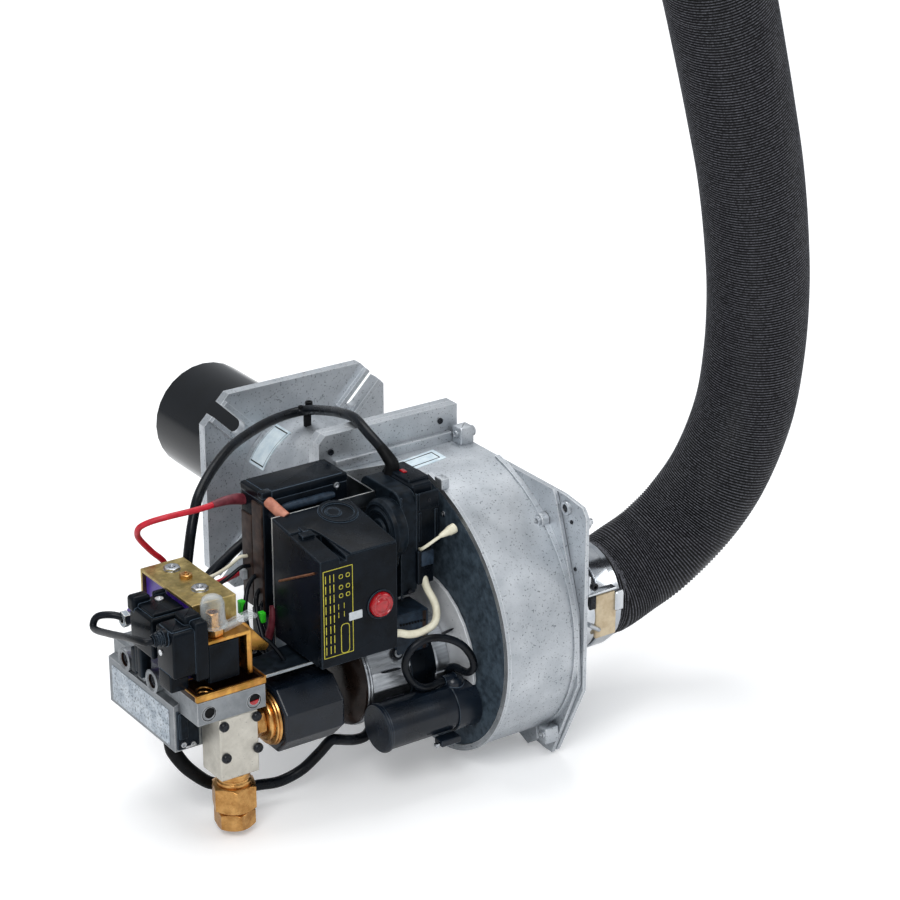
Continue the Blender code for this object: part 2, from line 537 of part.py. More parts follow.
def build_intake():
    rim = min(y for y, z in scroll_outline(0.0, OUTLET_FLOOR, JOINT_Y, SCROLL_START_DEG))
    side = {"lo": rim - PLATE_PROUD, "hi": JOINT_Y - 2, "top": SCROLL_TOP_Z - PLATE_BELOW}
    lug = lower_lug_centre()
    inner = [(side["hi"] - 12, side["top"] + 2), (side["lo"] + 44, side["top"] + 2), (side["lo"] + 40, side["top"] - 4),
             (side["lo"] + 6, SHAFT_Z + 60), (side["lo"] + 2, SHAFT_Z - 10), (lug[0] - 16, lug[1] - 8),
             (lug[0] - 4, lug[1] - 8), (lug[0] + 12, lug[1] - 6), (SHAFT_Y + 70, SHAFT_Z - 40),
             (SHAFT_Y + 72, SHAFT_Z + 30), (side["hi"], side["top"] - 20)]
    outer = [(side["hi"], side["top"]), (side["lo"] + 34, side["top"]), (side["lo"] + 6, side["top"] - 4),
             (side["lo"], side["top"] - 12), (side["lo"], SHAFT_Z - 16), (lug[0] - 18, lug[1] - 6),
             (lug[0] - 2, lug[1] - 9), (lug[0] + 16, lug[1] - 7), (SHAFT_Y + 64, SHAFT_Z - 40),
             (SHAFT_Y + 68, SHAFT_Z + 30)]
    for name, outline, near in (("inlet_plate_inner", inner, PLATE1_X), ("inlet_plate_outer", outer, PLATE2_X)):
        plate = finish(name, prism("X", outline, near, near + PLATE_T), *CAST)
        combine(plate, rod("X", (0, SHAFT_Y, SHAFT_Z), near - 1, near + PLATE_T + 1, INLET_R - 2, ROUND))
        if name == "inlet_plate_outer":
            combine(plate, rod("X", (0, side["lo"] + 30, side["top"] - 13), near - 1, near + PLATE_T + 1, 5,
                               ROUND_SMALL))
    centre = (0, SHAFT_Y, INTAKE_Z)
    box = finish("suction_box", prism("X", rounded(2 * INTAKE_BOX_HALF, 2 * INTAKE_BOX_HALF, 22,
                                                   centre=(SHAFT_Y, INTAKE_Z)),
                                      INTAKE_X, INTAKE_X + INTAKE_BOX_DEPTH), *CAST)
    combine(box, prism("X", rounded(2 * INTAKE_BOX_HALF - 6, 2 * INTAKE_BOX_HALF - 6, 19,
                                    centre=(SHAFT_Y, INTAKE_Z)), INTAKE_X - 1, INTAKE_X + INTAKE_BOX_DEPTH - 3))
    combine(box, rod("X", centre, INTAKE_X, INTAKE_X + INTAKE_BOX_DEPTH + 1, SPIGOT_R - SPIGOT_WALL, ROUND))
    grip = HOSE_D / 2 - HOSE_WALL - 2.5
    spigot = finish("inlet_spigot", turned("X", centre, [
        (SPIGOT_X, SPIGOT_R - SPIGOT_WALL), (SPIGOT_X, SPIGOT_R + 6), (SPIGOT_X + 4, SPIGOT_R + 6),
        (SPIGOT_X + 4, SPIGOT_R), (SPIGOT_X + SPIGOT_LEN, SPIGOT_R), (SPIGOT_X + SPIGOT_LEN, grip),
        (SPIGOT_X + SPIGOT_LEN + HOSE_GRIP, grip), (SPIGOT_X + SPIGOT_LEN + HOSE_GRIP, grip - 2),
        (SPIGOT_X + SPIGOT_LEN - 4, grip - 2), (SPIGOT_X + SPIGOT_LEN - 4, SPIGOT_R - SPIGOT_WALL)]), *CAST)
    pivot = (SPIGOT_X + SPIGOT_LEN / 2 - 2, SHAFT_Y, INTAKE_Z)
    combine(spigot, rod("Z", pivot, -SPIGOT_R - 8, SPIGOT_R + 8, SPINDLE_R + GAP, 12))
    flap = SPIGOT_R - SPIGOT_WALL - 2.5
    damper = finish("air_damper", rod("X", pivot, -DAMPER_T / 2, DAMPER_T / 2, flap, ROUND), *ZINC, origin=pivot)
    combine(damper, rod("Z", pivot, -SPIGOT_R - 4, SPIGOT_R + 4, SPINDLE_R, 12), "UNION")
    start = HOSE_X
    clamp = finish("hose_clamp", sleeve("X", centre, start, start + CLAMP_WIDTH, HOSE_D / 2 + GAP + CLAMP_T,
                                        HOSE_D / 2 + GAP), *STEEL)
    worm = block((start + 1, SHAFT_Y - HOSE_D / 2 - CLAMP_T - 6, INTAKE_Z + 2),
                 (start + CLAMP_WIDTH - 1, SHAFT_Y - HOSE_D / 2 - 1.0, INTAKE_Z + 22), 1.5)
    combine(clamp, worm, "UNION")
    build_hose(start)


def build_hose(start):
    route = [(start, SHAFT_Y, INTAKE_Z), (start + HOSE_GRIP + 1, SHAFT_Y, INTAKE_Z), *HOSE_ROUTE]
    count = 20
    hose = cable("air_hose", route, HOSE_D, RUBBER, count, 4)
    hose.data.use_fill_caps = False
    wall = hose.modifiers.new("Wall", "SOLIDIFY")
    wall.thickness = HOSE_WALL * MM
    wall.offset = -1.0
    wall.use_rim = True
    ends = smooth_route(route, count)
    along = (ends[-1] - ends[-2]).normalized()
    cuff = turned("Z", (0, 0, 0), [(GAP, HOSE_D / 2 - HOSE_WALL), (GAP, HOSE_D / 2 + 4), (34, HOSE_D / 2 + 4),
                                   (34, HOSE_D / 2 + 9), (38, HOSE_D / 2 + 9), (38, HOSE_D / 2 - HOSE_WALL)], ROUND)
    turn = Vector((0, 0, 1)).rotation_difference(along).to_matrix().to_4x4()
    bmesh.ops.transform(cuff, matrix=Matrix.Translation(ends[-1]) @ turn, verts=cuff.verts)
    finish("duct_cuff", cuff, *BLACK)


def build_controls():
    width, depth, height = BOX_SIZE
    right = BOX_LEFT + width
    top = BOX_BOTTOM + height
    bracket_back = BOX_BACK + GAP + BRACKET_T
    edge_x = -53.0
    sheet = finish("mounting_bracket", prism("Y", [
        (BOX_LEFT, BOX_BOTTOM - 32), (BOX_LEFT + 42, BOX_BOTTOM - 32), (BOX_LEFT + 42, BOX_BOTTOM - 4),
        (right - 4, BOX_BOTTOM - 4), (right - 4, top), (edge_x + BRACKET_T, top),
        (edge_x + BRACKET_T, top + BOX_SLOPE + 1), (BOX_LEFT, top + BOX_SLOPE + 1)],
        BOX_BACK + GAP, bracket_back), *ZINC)
    arm_end = JOINT_Y - JOINT_T - OUTLET_STEP + 6 - 5
    combine(sheet, block((edge_x, BOX_BACK + GAP, 22), (edge_x + BRACKET_T, arm_end, top + BOX_SLOPE + 1)), "UNION")

    front = BOX_BACK - depth
    side = [(front, BOX_BOTTOM), (BOX_BACK, BOX_BOTTOM), (BOX_BACK, top + BOX_SLOPE), (front, top)]
    box = finish("control_box", prism("X", side, BOX_LEFT, right), *BLACK)
    pivot = (right - 18.0, front, BOX_BOTTOM + 47.0)
    recess = BUTTON_TRAVEL + 6.0
    combine(box, block((BOX_LEFT + 20, front - 1, top - 4), (BOX_LEFT + 26, front + 40, top + 20)))
    combine(box, rod("Y", pivot, -1, recess + 4, BUTTON_R + GAP, 20))
    finish("reset_button", turned("Y", pivot, [
        (-BUTTON_PROUD, 0), (-BUTTON_PROUD + 1.2, BUTTON_R * 0.6), (-BUTTON_PROUD + 3, BUTTON_R),
        (recess - BUTTON_TRAVEL, BUTTON_R), (recess - BUTTON_TRAVEL, 0)], 20), *RED, origin=pivot)

    wide, deep, high = TRANSFORMER_SIZE
    near = bracket_back + SPACER_LEN + 2 * GAP
    t_top = top + BOX_SLOPE + 17.0
    t_left = BOX_LEFT + 1.0
    body = finish("ignition_transformer", block((t_left, near, t_top - high), (t_left + wide, near + deep, t_top), 2.0),
                  *BLACK)
    combine(body, block((t_left + 14, near - 3, t_top - 30), (t_left + wide - 8, near + 1, t_top - 20), 1.5), "UNION")
    finish("spacer_sleeve", rod("Y", (t_left + 8, 0, top + 8), bracket_back + GAP, near - GAP, SPACER_R,
                                ROUND_SMALL), *BRASS)

    s_left = edge_x + BRACKET_T + GAP
    w, h = SWITCH_SIZE
    s_centre = (SHAFT_Y - 38 + w / 2, -22 + h / 2)
    finish("switch_frame", prism("X", rounded(w, h, SWITCH_CORNER, centre=s_centre), s_left, s_left + SWITCH_T), *DARK)
    cover_x = s_left + SWITCH_T + GAP
    finish("switch_membrane_housing", turned("X", (0, s_centre[0] - 7, 24), [
        (edge_x - GAP - 14, 0), (edge_x - GAP - 14, 18), (edge_x - GAP - 9, 19), (edge_x - GAP - 8, 26),
        (edge_x - GAP, 27), (edge_x - GAP, 0)], 32), *BLACK)
    cover = finish("switch_cover", block((cover_x, s_centre[0] - w / 2 + 3, 22), (cover_x + 27, s_centre[0] + 14, 62),
                                         2.0), *DARK)
    combine(cover, block((cover_x, s_centre[0] - w / 2 + 8, 50), (cover_x + 22, s_centre[0] + 26, 82), 2.0), "UNION")


def hollow_coil(name, lo, hi, finish_values, centre, bottom_wall=4.0):
    """A moulded coil with the bore that its armature slides in."""
    coil = finish(name, block(lo, hi, 1.5), *finish_values)
    combine(coil, rod("Z", (*centre, 0), lo[2] + bottom_wall, hi[2] + 1, ARMATURE_R + GAP, ROUND_SMALL))
    low = lo[2] + bottom_wall + GAP
    return low


def build_valve():
    wide, deep, high = VALVE_SIZE
    right = VALVE_LEFT + wide
    back = VALVE_FRONT + deep
    top = VALVE_BOTTOM + high
    ledge = VALVE_BOTTOM + 44
    profile = [(VALVE_LEFT, VALVE_BOTTOM), (right, VALVE_BOTTOM), (right, top), (VALVE_LEFT + 10, top),
               (VALVE_LEFT + 6, top - 2), (VALVE_LEFT + 6, ledge + 2), (VALVE_LEFT, ledge)]
    body = finish("gas_valve_body", prism("Y", profile, VALVE_FRONT, back), *CAST)
    for y in (VALVE_FRONT + 36, VALVE_FRONT + 86):
        combine(body, sleeve("X", (0, y, ledge + 10), VALVE_LEFT - 1, VALVE_LEFT + 9, 10.5, 7, ROUND_SMALL), "UNION")
    for y in (VALVE_FRONT + 61,):
        combine(body, block((VALVE_LEFT + 2, y - 6, ledge - 3), (VALVE_LEFT + 14, y + 6, top - 0.5), 1.0), "UNION")
    combine(body, rod("X", (0, PIPE_Y, PIPE_Z), right - 1, right + 5, PIPE_D / 2 + 4, 6), "UNION")
    combine(body, rod("X", (0, PIPE_Y, PIPE_Z), right - 14, right + 6, PIPE_D / 2 - 4, ROUND_SMALL))

    y_wide, y_deep, y_high = YOKE_SIZE
    y_left = VALVE_LEFT + 22
    y_front = VALVE_FRONT
    y_bottom = top + GAP
    y_top = y_bottom + y_high
    t = YOKE_T
    arch = [(y_front, y_bottom), (y_front + t, y_bottom), (y_front + t, y_top - t), (y_front + y_deep - t, y_top - t),
            (y_front + y_deep - t, y_bottom), (y_front + y_deep, y_bottom), (y_front + y_deep, y_top),
            (y_front, y_top)]
    finish("rear_yoke", prism("X", arch, y_left, y_left + y_wide), *YELLOW_ZINC)
    half = (y_deep - 2 * t - 3 * GAP) / 2
    for number in (1, 2):
        near = y_front + t + GAP + (number - 1) * (half + GAP)
        lo = (y_left + 3, near, y_bottom)
        hi = (y_left + y_wide - 3, near + half, y_top - t - GAP)
        centre = ((lo[0] + hi[0]) / 2, (lo[1] + hi[1]) / 2)
        low = hollow_coil("rear_coil_" + str(number), lo, hi, VIOLET, centre)
        if number == 2:
            combine(bpy.data.objects["rear_coil_2"], rod("X", (lo[0], lo[1] + 32, lo[2] + 35), -18, 4, 6.5, 16), "UNION")
            gland = (lo[0] - 18, lo[1] + 32, lo[2] + 35)
        finish("rear_armature_" + str(number), rod("Z", (*centre, 0), low, low + ARMATURE_LEN, ARMATURE_R,
                                                   ROUND_SMALL, chamfer=0.6), *STEEL, origin=(*centre, low))

    c_right = y_left - GAP
    rear = finish("rear_connector", block((c_right - 34, y_front + 12, -25), (c_right + 2.5, y_front + 42, 9), 2.0), *BLACK)
    combine(rear, prism("X", [(y_front + 40, -12), (y_front + 52, 6), (y_front + 54, 14), (y_front + 46, 16),
                              (y_front + 34, 9), (y_front + 34, -6)], c_right - 30, c_right - 8), "UNION")

    f_front = VALVE_FRONT - BLOCK_SIZE[1] + 7
    coil_lo = (VALVE_LEFT + 23, f_front + 3, top + TRAY_RIM / 2 + 3)
    coil_hi = (VALVE_LEFT + 54, f_front + 25, -6)
    centre = ((coil_lo[0] + coil_hi[0]) / 2, (coil_lo[1] + coil_hi[1]) / 2)
    low = hollow_coil("front_coil", coil_lo, coil_hi, BLACK, centre)
    finish("front_armature", rod("Z", (*centre, 0), low, low + ARMATURE_LEN - 8, ARMATURE_R, ROUND_SMALL,
                                 chamfer=0.6), *STEEL, origin=(*centre, low))
    bracket = [(coil_lo[0], coil_hi[2] + GAP), (coil_hi[0] + 8, coil_hi[2] + GAP), (coil_hi[0] + 8, coil_lo[2]),
               (coil_hi[0] + 11, coil_lo[2]), (coil_hi[0] + 11, coil_hi[2] + GAP + t), (coil_lo[0], coil_hi[2] + GAP + t)]
    finish("front_yoke", prism("Y", bracket, f_front + 2, f_front + 25), *YELLOW_ZINC)
    plug = finish("front_connector", block((coil_lo[0] - GAP - 34, f_front, -27), (coil_lo[0] - GAP, f_front + 27, 14),
                                           2.0), *BLACK)
    entry = (coil_lo[0] - GAP - 34 - 12, f_front + 15, 6.5)
    combine(plug, rod("X", (0, *entry[1:]), entry[0], entry[0] + 15, 6.0, 16), "UNION")
    combine(plug, block((coil_lo[0] - GAP - 18, f_front + 10, 10), (coil_lo[0] - GAP - 2, f_front + 26, 22), 2.0), "UNION")

    nipple_at = (coil_lo[0] + 11.4, f_front + 13, 0)
    base = coil_hi[2] + GAP + t + GAP
    nipple = finish("test_nipple", rod("Z", nipple_at, base, base + 8, 7.5, 6), *BRASS)
    combine(nipple, turned("Z", nipple_at, [(base + 7, 0), (base + 7, 5), (base + 22, 4.4), (base + 24, 5.2),
                                            (base + 26, 4.2), (base + 26, 0)], 16), "UNION")
    cap_low = base + 8 + GAP
    cap = finish("clear_cap", turned("Z", nipple_at, [
        (cap_low, 9.8), (cap_low, 11), (cap_low + 20, 10.6), (cap_low + 26, 8), (cap_low + 28, 3), (cap_low + 28, 0),
        (cap_low + 26.6, 0), (cap_low + 26.6, 2.6), (cap_low + 25, 7), (cap_low + 19.4, 9.4)], 16), *CLEAR)
    strap = block((nipple_at[0] + 10.2, nipple_at[1] - 4, cap_low + 1), (nipple_at[0] + 46, nipple_at[1] + 4, cap_low + 4), 0.8)
    combine(cap, strap, "UNION")

    gx, gy, gz = gland
    cable("connector_cable", [
        (gx - 0.9, gy, gz), (gx - 7, gy, gz), (gx - 17, gy + 7, gz + 3), (gx - 26, gy + 16, gz + 1),
        (gx - 30, gy + 19, gz - 5), (gx - 32, gy + 13, gz - 9), (gx - 35, gy - 20, gz + 1), (gx - 38, gy - 58, gz + 14),
        (gx - 38, gy - 80, gz + 20), (entry[0] - 5, entry[1], entry[2]), (entry[0] - 0.7, *entry[1:])],
        6.5, RUBBER, 20)
    build_gas_inlet(top)


def build_gas_inlet(valve_top):
    width, depth, height = TRAY_SIZE
    t_left = VALVE_LEFT + 5
    t_back = VALVE_FRONT - GAP
    t_bottom = VALVE_BOTTOM + 38
    outline = [(t_left, t_back - depth), (t_left + width, t_back - depth), (t_left + width, t_back), (t_left, t_back)]
    tray = finish("regulator_box", prism("Z", outline, t_bottom, t_bottom + height), *CAST)
    w = TRAY_WALL
    combine(tray, block((t_left + w, t_back - depth + w, t_bottom + w), (t_left + width - w, t_back - w, t_bottom + height + 1)))
    for x in (t_left + 12, t_left + width - 11):
        combine(tray, rod("Y", (x, 0, t_bottom + 10), t_back - depth - 1, t_back - depth + w + 1, 5, ROUND_SMALL))
    r_low = t_bottom + height + GAP
    rim_outline = [(t_left - 1, t_back - depth - 1), (t_left + width + 1, t_back - depth - 1),
                   (t_left + width + 1, t_back), (t_left - 1, t_back)]
    rim = finish("regulator_rim", prism("Z", rim_outline, r_low, r_low + TRAY_RIM), *YELLOW_ZINC)
    combine(rim, block((t_left + w, t_back - depth + w, r_low - 1), (t_left + width - w, t_back - w, r_low + TRAY_RIM + 1)))

    bx, by, bz = BLOCK_SIZE
    b_left = VALVE_LEFT + 26
    b_top = t_bottom - GAP
    finish("inlet_block", block((b_left, t_back - by, b_top - bz), (b_left + bx, t_back, b_top), 1.0), *STEEL)
    middle = (b_left + bx / 2 + 2, t_back - by / 2, 0)
    low = b_top - bz - GAP
    flat = cos(pi / 6)
    body = finish("union_body", rod("Z", middle, low - 13, low, 14.5, 24), *BRASS)
    combine(body, rod("Z", middle, low - 37, low - 12, UNION_HEX / 2 / flat, 6, phase=radians(8), chamfer=0.0), "UNION")
    n_top = low - 37 - GAP
    nut = finish("union_nut", rod("Z", middle, n_top - 17, n_top, UNION_NUT_HEX / 2 / flat, 6, phase=radians(20)), *BRASS)
    combine(nut, rod("Z", middle, n_top - 18, n_top - 4, 9, ROUND_SMALL))

    axis = (0, t_back - by / 2, b_top - 20)
    n_left = b_left + bx + GAP
    finish("side_coil_nut", turned("X", axis, [
        (n_left, 8), (n_left, 15), (n_left + 12, 15), (n_left + 12, 24), (n_left + 19, 24), (n_left + 19, 8)], 24), *BRASS)
    c_left = n_left + 19 + GAP
    coil = finish("side_coil", rod("X", axis, c_left, c_left + SIDE_COIL_LEN, SIDE_COIL_R, 8, phase=radians(22.5),
                                   chamfer=2.0), *BLACK)
    combine(coil, rod("X", axis, c_left - 1, c_left + SIDE_COIL_LEN - 8, ARMATURE_R + GAP, ROUND_SMALL))
    a_left = c_left + 10
    finish("side_armature", rod("X", axis, a_left, a_left + ARMATURE_LEN, ARMATURE_R, ROUND_SMALL, chamfer=0.6),
           *STEEL, origin=(a_left, axis[1], axis[2]))


def build_gas_head():
    right = VALVE_LEFT + VALVE_SIZE[0] + 5 + GAP
    low = PIPE_Z - 14
    top_x, top_y, top_z = GAS_PIPE_TOP
    cable("gas_pipe", [(right + 0.5, PIPE_Y, PIPE_Z), (right + 14, PIPE_Y, PIPE_Z), (right + 30, PIPE_Y, PIPE_Z),
                       (right + 70, PIPE_Y + 3, PIPE_Z - 6), (top_x - 70, PIPE_Y + 12, low),
                       (top_x - 30, top_y, low - 4), (top_x - 7, top_y, low + 2), (top_x, top_y, top_z - 14),
                       (top_x, top_y, top_z - 7), (top_x, top_y, top_z - 0.5)], PIPE_D, STEEL, 20, 3)
    inner = TUBE_R - TUBE_WALL
    plate_y = TUBE_REACH - 48
    finish("gas_head_pipe", turned("Y", (0, 0, 0), [
        (-120, 0), (-120, 11), (plate_y - 12, 11), (plate_y - 10, 17), (plate_y + 8, 17), (plate_y + 10, 14),
        (plate_y + 10, 0)], 24), *STEEL)
    disc = finish("flame_diffuser", sleeve("Y", (0, 0, 0), plate_y - 1, plate_y + 1, inner - GAP, 17 + GAP, ROUND), *STEEL)
    for number in range(8):
        turn = 2 * pi * number / 8
        slot = block((24, plate_y - 3, -1.6), (inner - 8, plate_y + 3, 1.6))
        bmesh.ops.transform(slot, matrix=Matrix.Rotation(turn + 0.2, 4, "Y"), verts=slot.verts)
        combine(disc, slot)
    for name, turn in (("ignition_electrode", radians(100)), ("ionisation_electrode", radians(225))):
        x, z = 31 * cos(turn), 31 * sin(turn)
        combine(disc, rod("Y", (x, 0, z), plate_y - 3, plate_y + 3, 4 + GAP, 16))
        finish(name, turned("Y", (x, 0, z), [(plate_y - 60, 0), (plate_y - 60, 4), (plate_y + 6, 4), (plate_y + 9, 1.4),
                                             (plate_y + 24, 1.2), (plate_y + 24, 0)], 16), *CERAMIC)


def build_leads():
    cable("switch_cable", SWITCH_CABLE, 8.0, RUBBER, 34)
    cable("ignition_cable", IGNITION_CABLE, 5.5, RED, 26)
    cable("motor_cable", MOTOR_CABLE, 7.0, CREAM, 14)
    cable("valve_cable", VALVE_CABLE, 10.0, RUBBER, 24)


# Routes of the hose and the leads, as points that each passes through
PIPE_Y = -147.0
PIPE_Z = -92.0
GAS_PIPE_TOP = (-20.0, -128.0, -NECK_R - 6 - GAP)
HOSE_ROUTE = [
    (230, -226, -79), (261, -232, -62), (295, -242, -29), (318, -256, 16), (330, -272, 78),
    (326, -288, 144), (314, -303, 210), (295, -318, 275), (273, -332, 338), (247, -346, 399), (220, -360, 459),
    (193, -374, 516), (169, -386, 563)]
SWITCH_CABLE = [
    (-28.5, -214, 83.4), (-28.5, -214, 89), (-32, -204, 100), (-34, -185, 109), (-31, -158, 114), (-27, -130, 109),
    (-19, -92, 97), (-15, -50, 83), (-30, -42, 80), (-58, -52, 82), (-89, -68, 83), (-120, -86, 82), (-145, -102, 76),
    (-163, -114, 68), (-178, -126, 59), (-188, -135, 45), (-194, -140, 32), (-198, -142, 16), (-200, -142, 0),
    (-198, -141, -14), (-191, -139, -22), (-181, -137, -18), (-171, -136, -10), (-156, -134, -2), (-141, -130, 4),
    (-115, -120, 8), (-92, -107, 6), (-78, -100, 4), (-69.6, -99, 4)]
IGNITION_CABLE = [
    (-158, -171, 71), (-164, -172, 73), (-177, -174, 75), (-202, -175, 74), (-230, -172, 73), (-246, -165, 69),
    (-253, -158, 63), (-252, -151, 54), (-247, -147, 45), (-234, -143, 29), (-222, -140, 16), (-214, -134, 0),
    (-200, -120, -24), (-180, -110, -36), (-150, -100, -42), (-110, -88, -42), (-82, -79, -37), (-70, -76, -34),
    (-61.5, -76, -34)]
MOTOR_CABLE = [
    (-29, -250, 21), (-29, -252, 14), (-28.5, -262, 0), (-28, -268, -12), (-26, -276, -22), (-27, -282, -31),
    (-34, -288, -38), (-48, -291, -40.5), (-61, -290, -40), (-72, -289, -36), (-79, -289, -35)]
VALVE_CABLE = [
    (-262, -216, -118), (-262, -217, -125), (-257, -221, -136), (-250, -226, -146), (-233, -229, -162),
    (-209, -231, -174), (-184, -233, -178), (-165, -236, -179), (-145, -240, -172), (-130, -246, -157),
    (-121, -251, -145), (-112, -250, -147), (-101, -246, -152.5), (-90, -243, -157), (-78, -240, -159),
    (-68, -234, -157.5), (-61, -226, -154), (-60, -224.3, -150), (-60, -224.3, -144.85)]


def main():
    for thing in list(bpy.data.objects):
        bpy.data.objects.remove(thing, do_unlink=True)
    build_flange_and_tube()
    build_neck()
    build_housing()
    build_fan()
    build_motor()
    build_intake()
    build_controls()
    build_valve()
    build_gas_head()
    build_leads()


if __name__ == "__main__":
    main()
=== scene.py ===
"""Monobloc gas burner: the visible surfaces, finishes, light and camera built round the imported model.

Points are written in millimetres and become metres where a mesh is made. The blast tube's axis is +Y,
the fan's shaft lies along X and +Z is up, with the origin where the tube's axis meets the flange face.
"""
import json
from math import cos, radians, sin, tau

import bmesh
import bpy
import numpy as np
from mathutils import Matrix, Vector


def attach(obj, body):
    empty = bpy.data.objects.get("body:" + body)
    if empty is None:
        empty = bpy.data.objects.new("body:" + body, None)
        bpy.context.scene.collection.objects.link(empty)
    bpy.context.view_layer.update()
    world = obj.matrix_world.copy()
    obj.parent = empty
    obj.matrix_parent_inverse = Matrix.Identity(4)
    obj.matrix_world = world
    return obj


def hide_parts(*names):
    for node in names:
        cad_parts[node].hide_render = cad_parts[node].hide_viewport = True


bl_info = {
    "name": "Gas Burner",
    "version": (1, 0, 0),
    "blender": (4, 5, 0),
    "location": "3D View > Sidebar > Burner",
    "description": "Builds the surfaces, finishes, light and camera of a monobloc gas burner",
    "category": "Object",
}

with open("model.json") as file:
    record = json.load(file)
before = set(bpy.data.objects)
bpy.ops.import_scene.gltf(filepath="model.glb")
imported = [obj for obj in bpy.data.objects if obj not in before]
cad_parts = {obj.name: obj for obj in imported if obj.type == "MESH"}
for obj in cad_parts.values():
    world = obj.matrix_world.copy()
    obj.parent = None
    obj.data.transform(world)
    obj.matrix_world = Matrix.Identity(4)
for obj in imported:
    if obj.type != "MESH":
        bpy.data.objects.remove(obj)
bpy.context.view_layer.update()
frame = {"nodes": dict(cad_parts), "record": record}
NODE_BODY = {node: body for body, nodes in frame["record"]["behaviour"]["bodies"].items() for node in nodes}
MM = 0.001
CREASE_DEG = 35.0      # edges that turn more than this are kept sharp, and rounded on the CAD parts
FLAT_DEG = 0.6         # faces that turn less than this are one face
FLOOR_Z = -196.0       # under the lowest union
FLOOR_HALF, FLOOR_LINES = 12000.0, 25
HOSE_AROUND, HOSE_WALL = 60, 2.2
CAMERA_AT = (-1.238, -2.065, 1.022)      # metres
CAMERA_TURN, CAMERA_RISE = -34.5, 22.6   # degrees
LENS, FILM = 108.0, 36.0
# Each lamp's place and width in metres, and its power in watts; all face LAMPS_FACE
LAMPS = {"key": ((-1.9, -2.2, 2.6), 1.6, 60.0), "fill": ((2.6, -2.0, 1.6), 1.8, 22.0),
         "top": ((0.2, 0.6, 3.0), 2.2, 52.0)}
LAMPS_FACE = Vector((0, -0.2, 0))
SCROLL = {"start": -220.0, "radius": 72.0, "growth": 100.0, "span": 310.0, "power": 2.1}
AXES = {"X": np.array([[1, 0, 0], [0, 1, 0], [0, 0, 1.0]]),
        "Y": np.array([[0, 1, 0], [1, 0, 0], [0, 0, 1.0]]),
        "Z": np.array([[0, 0, 1], [1, 0, 0], [0, 1, 0.0]])}

SHAFT = (-224.3, -98.0)    # the fan's shaft, as (y, z)

# Routes that the hose, the leads with their CAD part, the short wires and the gas pipe pass through, in millimetres
HOSE_START = (176.2, SHAFT[0], -90.0)
HOSE_ROUTE = [HOSE_START, (201.2, SHAFT[0], -90.0),
              (230, -226, -79), (261, -232, -62), (295, -242, -29), (318, -256, 16), (330, -272, 78),
              (326, -288, 144), (314, -303, 210), (295, -318, 275), (273, -332, 338), (247, -346, 399),
              (220, -360, 459), (193, -374, 516), (169, -386, 563)]
LEADS = {
    "switch_cable": (9.4, "black_pvc", [
        (-28.5, -214, 83.4), (-28.5, -214, 89), (-32, -204, 100), (-34, -185, 109), (-31, -158, 114),
        (-27, -130, 109), (-19, -92, 97), (-15, -50, 83), (-30, -42, 80), (-58, -52, 82), (-89, -68, 83),
        (-120, -86, 82), (-145, -102, 76), (-163, -114, 68), (-178, -126, 59), (-188, -135, 45), (-194, -140, 32),
        (-198, -142, 16), (-200, -142, 0), (-198, -141, -14), (-191, -139, -22), (-181, -137, -18),
        (-171, -136, -10), (-156, -134, -2), (-141, -130, 4), (-115, -120, 8), (-92, -107, 6), (-78, -100, 4),
        (-69.6, -99, 4)]),
    "ignition_cable": (5.5, "red_silicone", [
        (-158, -171, 71), (-164, -172, 73), (-177, -174, 75), (-202, -175, 74), (-230, -172, 73),
        (-246, -165, 69), (-253, -158, 63), (-252, -151, 54), (-247, -147, 45), (-234, -143, 29),
        (-222, -140, 16), (-214, -134, 0), (-200, -120, -24), (-180, -110, -36), (-150, -100, -42),
        (-110, -88, -42), (-82, -79, -37), (-70, -76, -34), (-61.5, -76, -34)]),
    "motor_cable": (7.0, "cream_pvc", [
        (-29, -250, 21), (-29, -252, 14), (-28.5, -262, 0), (-28, -268, -12), (-26, -276, -22), (-27, -282, -31),
        (-34, -288, -38), (-48, -291, -40.5), (-61, -290, -40), (-72, -289, -36), (-79, -289, -35)]),
    "valve_cable": (10.0, "black_pvc", [
        (-262, -216, -118), (-262, -217, -125), (-257, -221, -136), (-250, -226, -146), (-233, -229, -162),
        (-209, -231, -174), (-184, -233, -178), (-165, -236, -179), (-145, -240, -172), (-130, -246, -157),
        (-121, -251, -145), (-112, -250, -147), (-101, -246, -152.5), (-90, -243, -157), (-78, -240, -159),
        (-68, -234, -157.5), (-61, -226, -154), (-60, -224.3, -150), (-60, -224.3, -144.85)]),
    "capacitor_cable": (7.0, "black_pvc", [
        (-25.1, -288.8, -97.4), (-29.3, -288.8, -97.2), (-38.3, -289.3, -98.4), (-49, -289.8, -95.8),
        (-61, -290.8, -84.8), (-67.5, -291.8, -67.8), (-62, -293.8, -52.8), (-48, -296.8, -45.8),
        (-31, -300.8, -47.8), (-17, -305.8, -55.8), (-9, -309.8, -67.8), (-7, -311.3, -78.8), (-8.5, -305.8, -85.8),
        (-9.5, -296.8, -87.8), (-10.5, -287.8, -87.8), (-12, -281.3, -90.3), (-12.5, -278.3, -94.3),
        (-10.5, -277.8, -96.8), (-6.3, -277.8, -96.8)]),
    "connector_cable": (6.5, "black_pvc", [
        (-267.9, -166.9, -14.7), (-274, -166.9, -14.7), (-284, -159.9, -11.7), (-293, -150.9, -13.7),
        (-297, -147.9, -19.7), (-299, -153.9, -23.7), (-302, -186.9, -13.7), (-305, -224.9, -0.7),
        (-305, -246.9, 5.3), (-302.3, -256, 6.5), (-298, -256, 6.5)]),
}
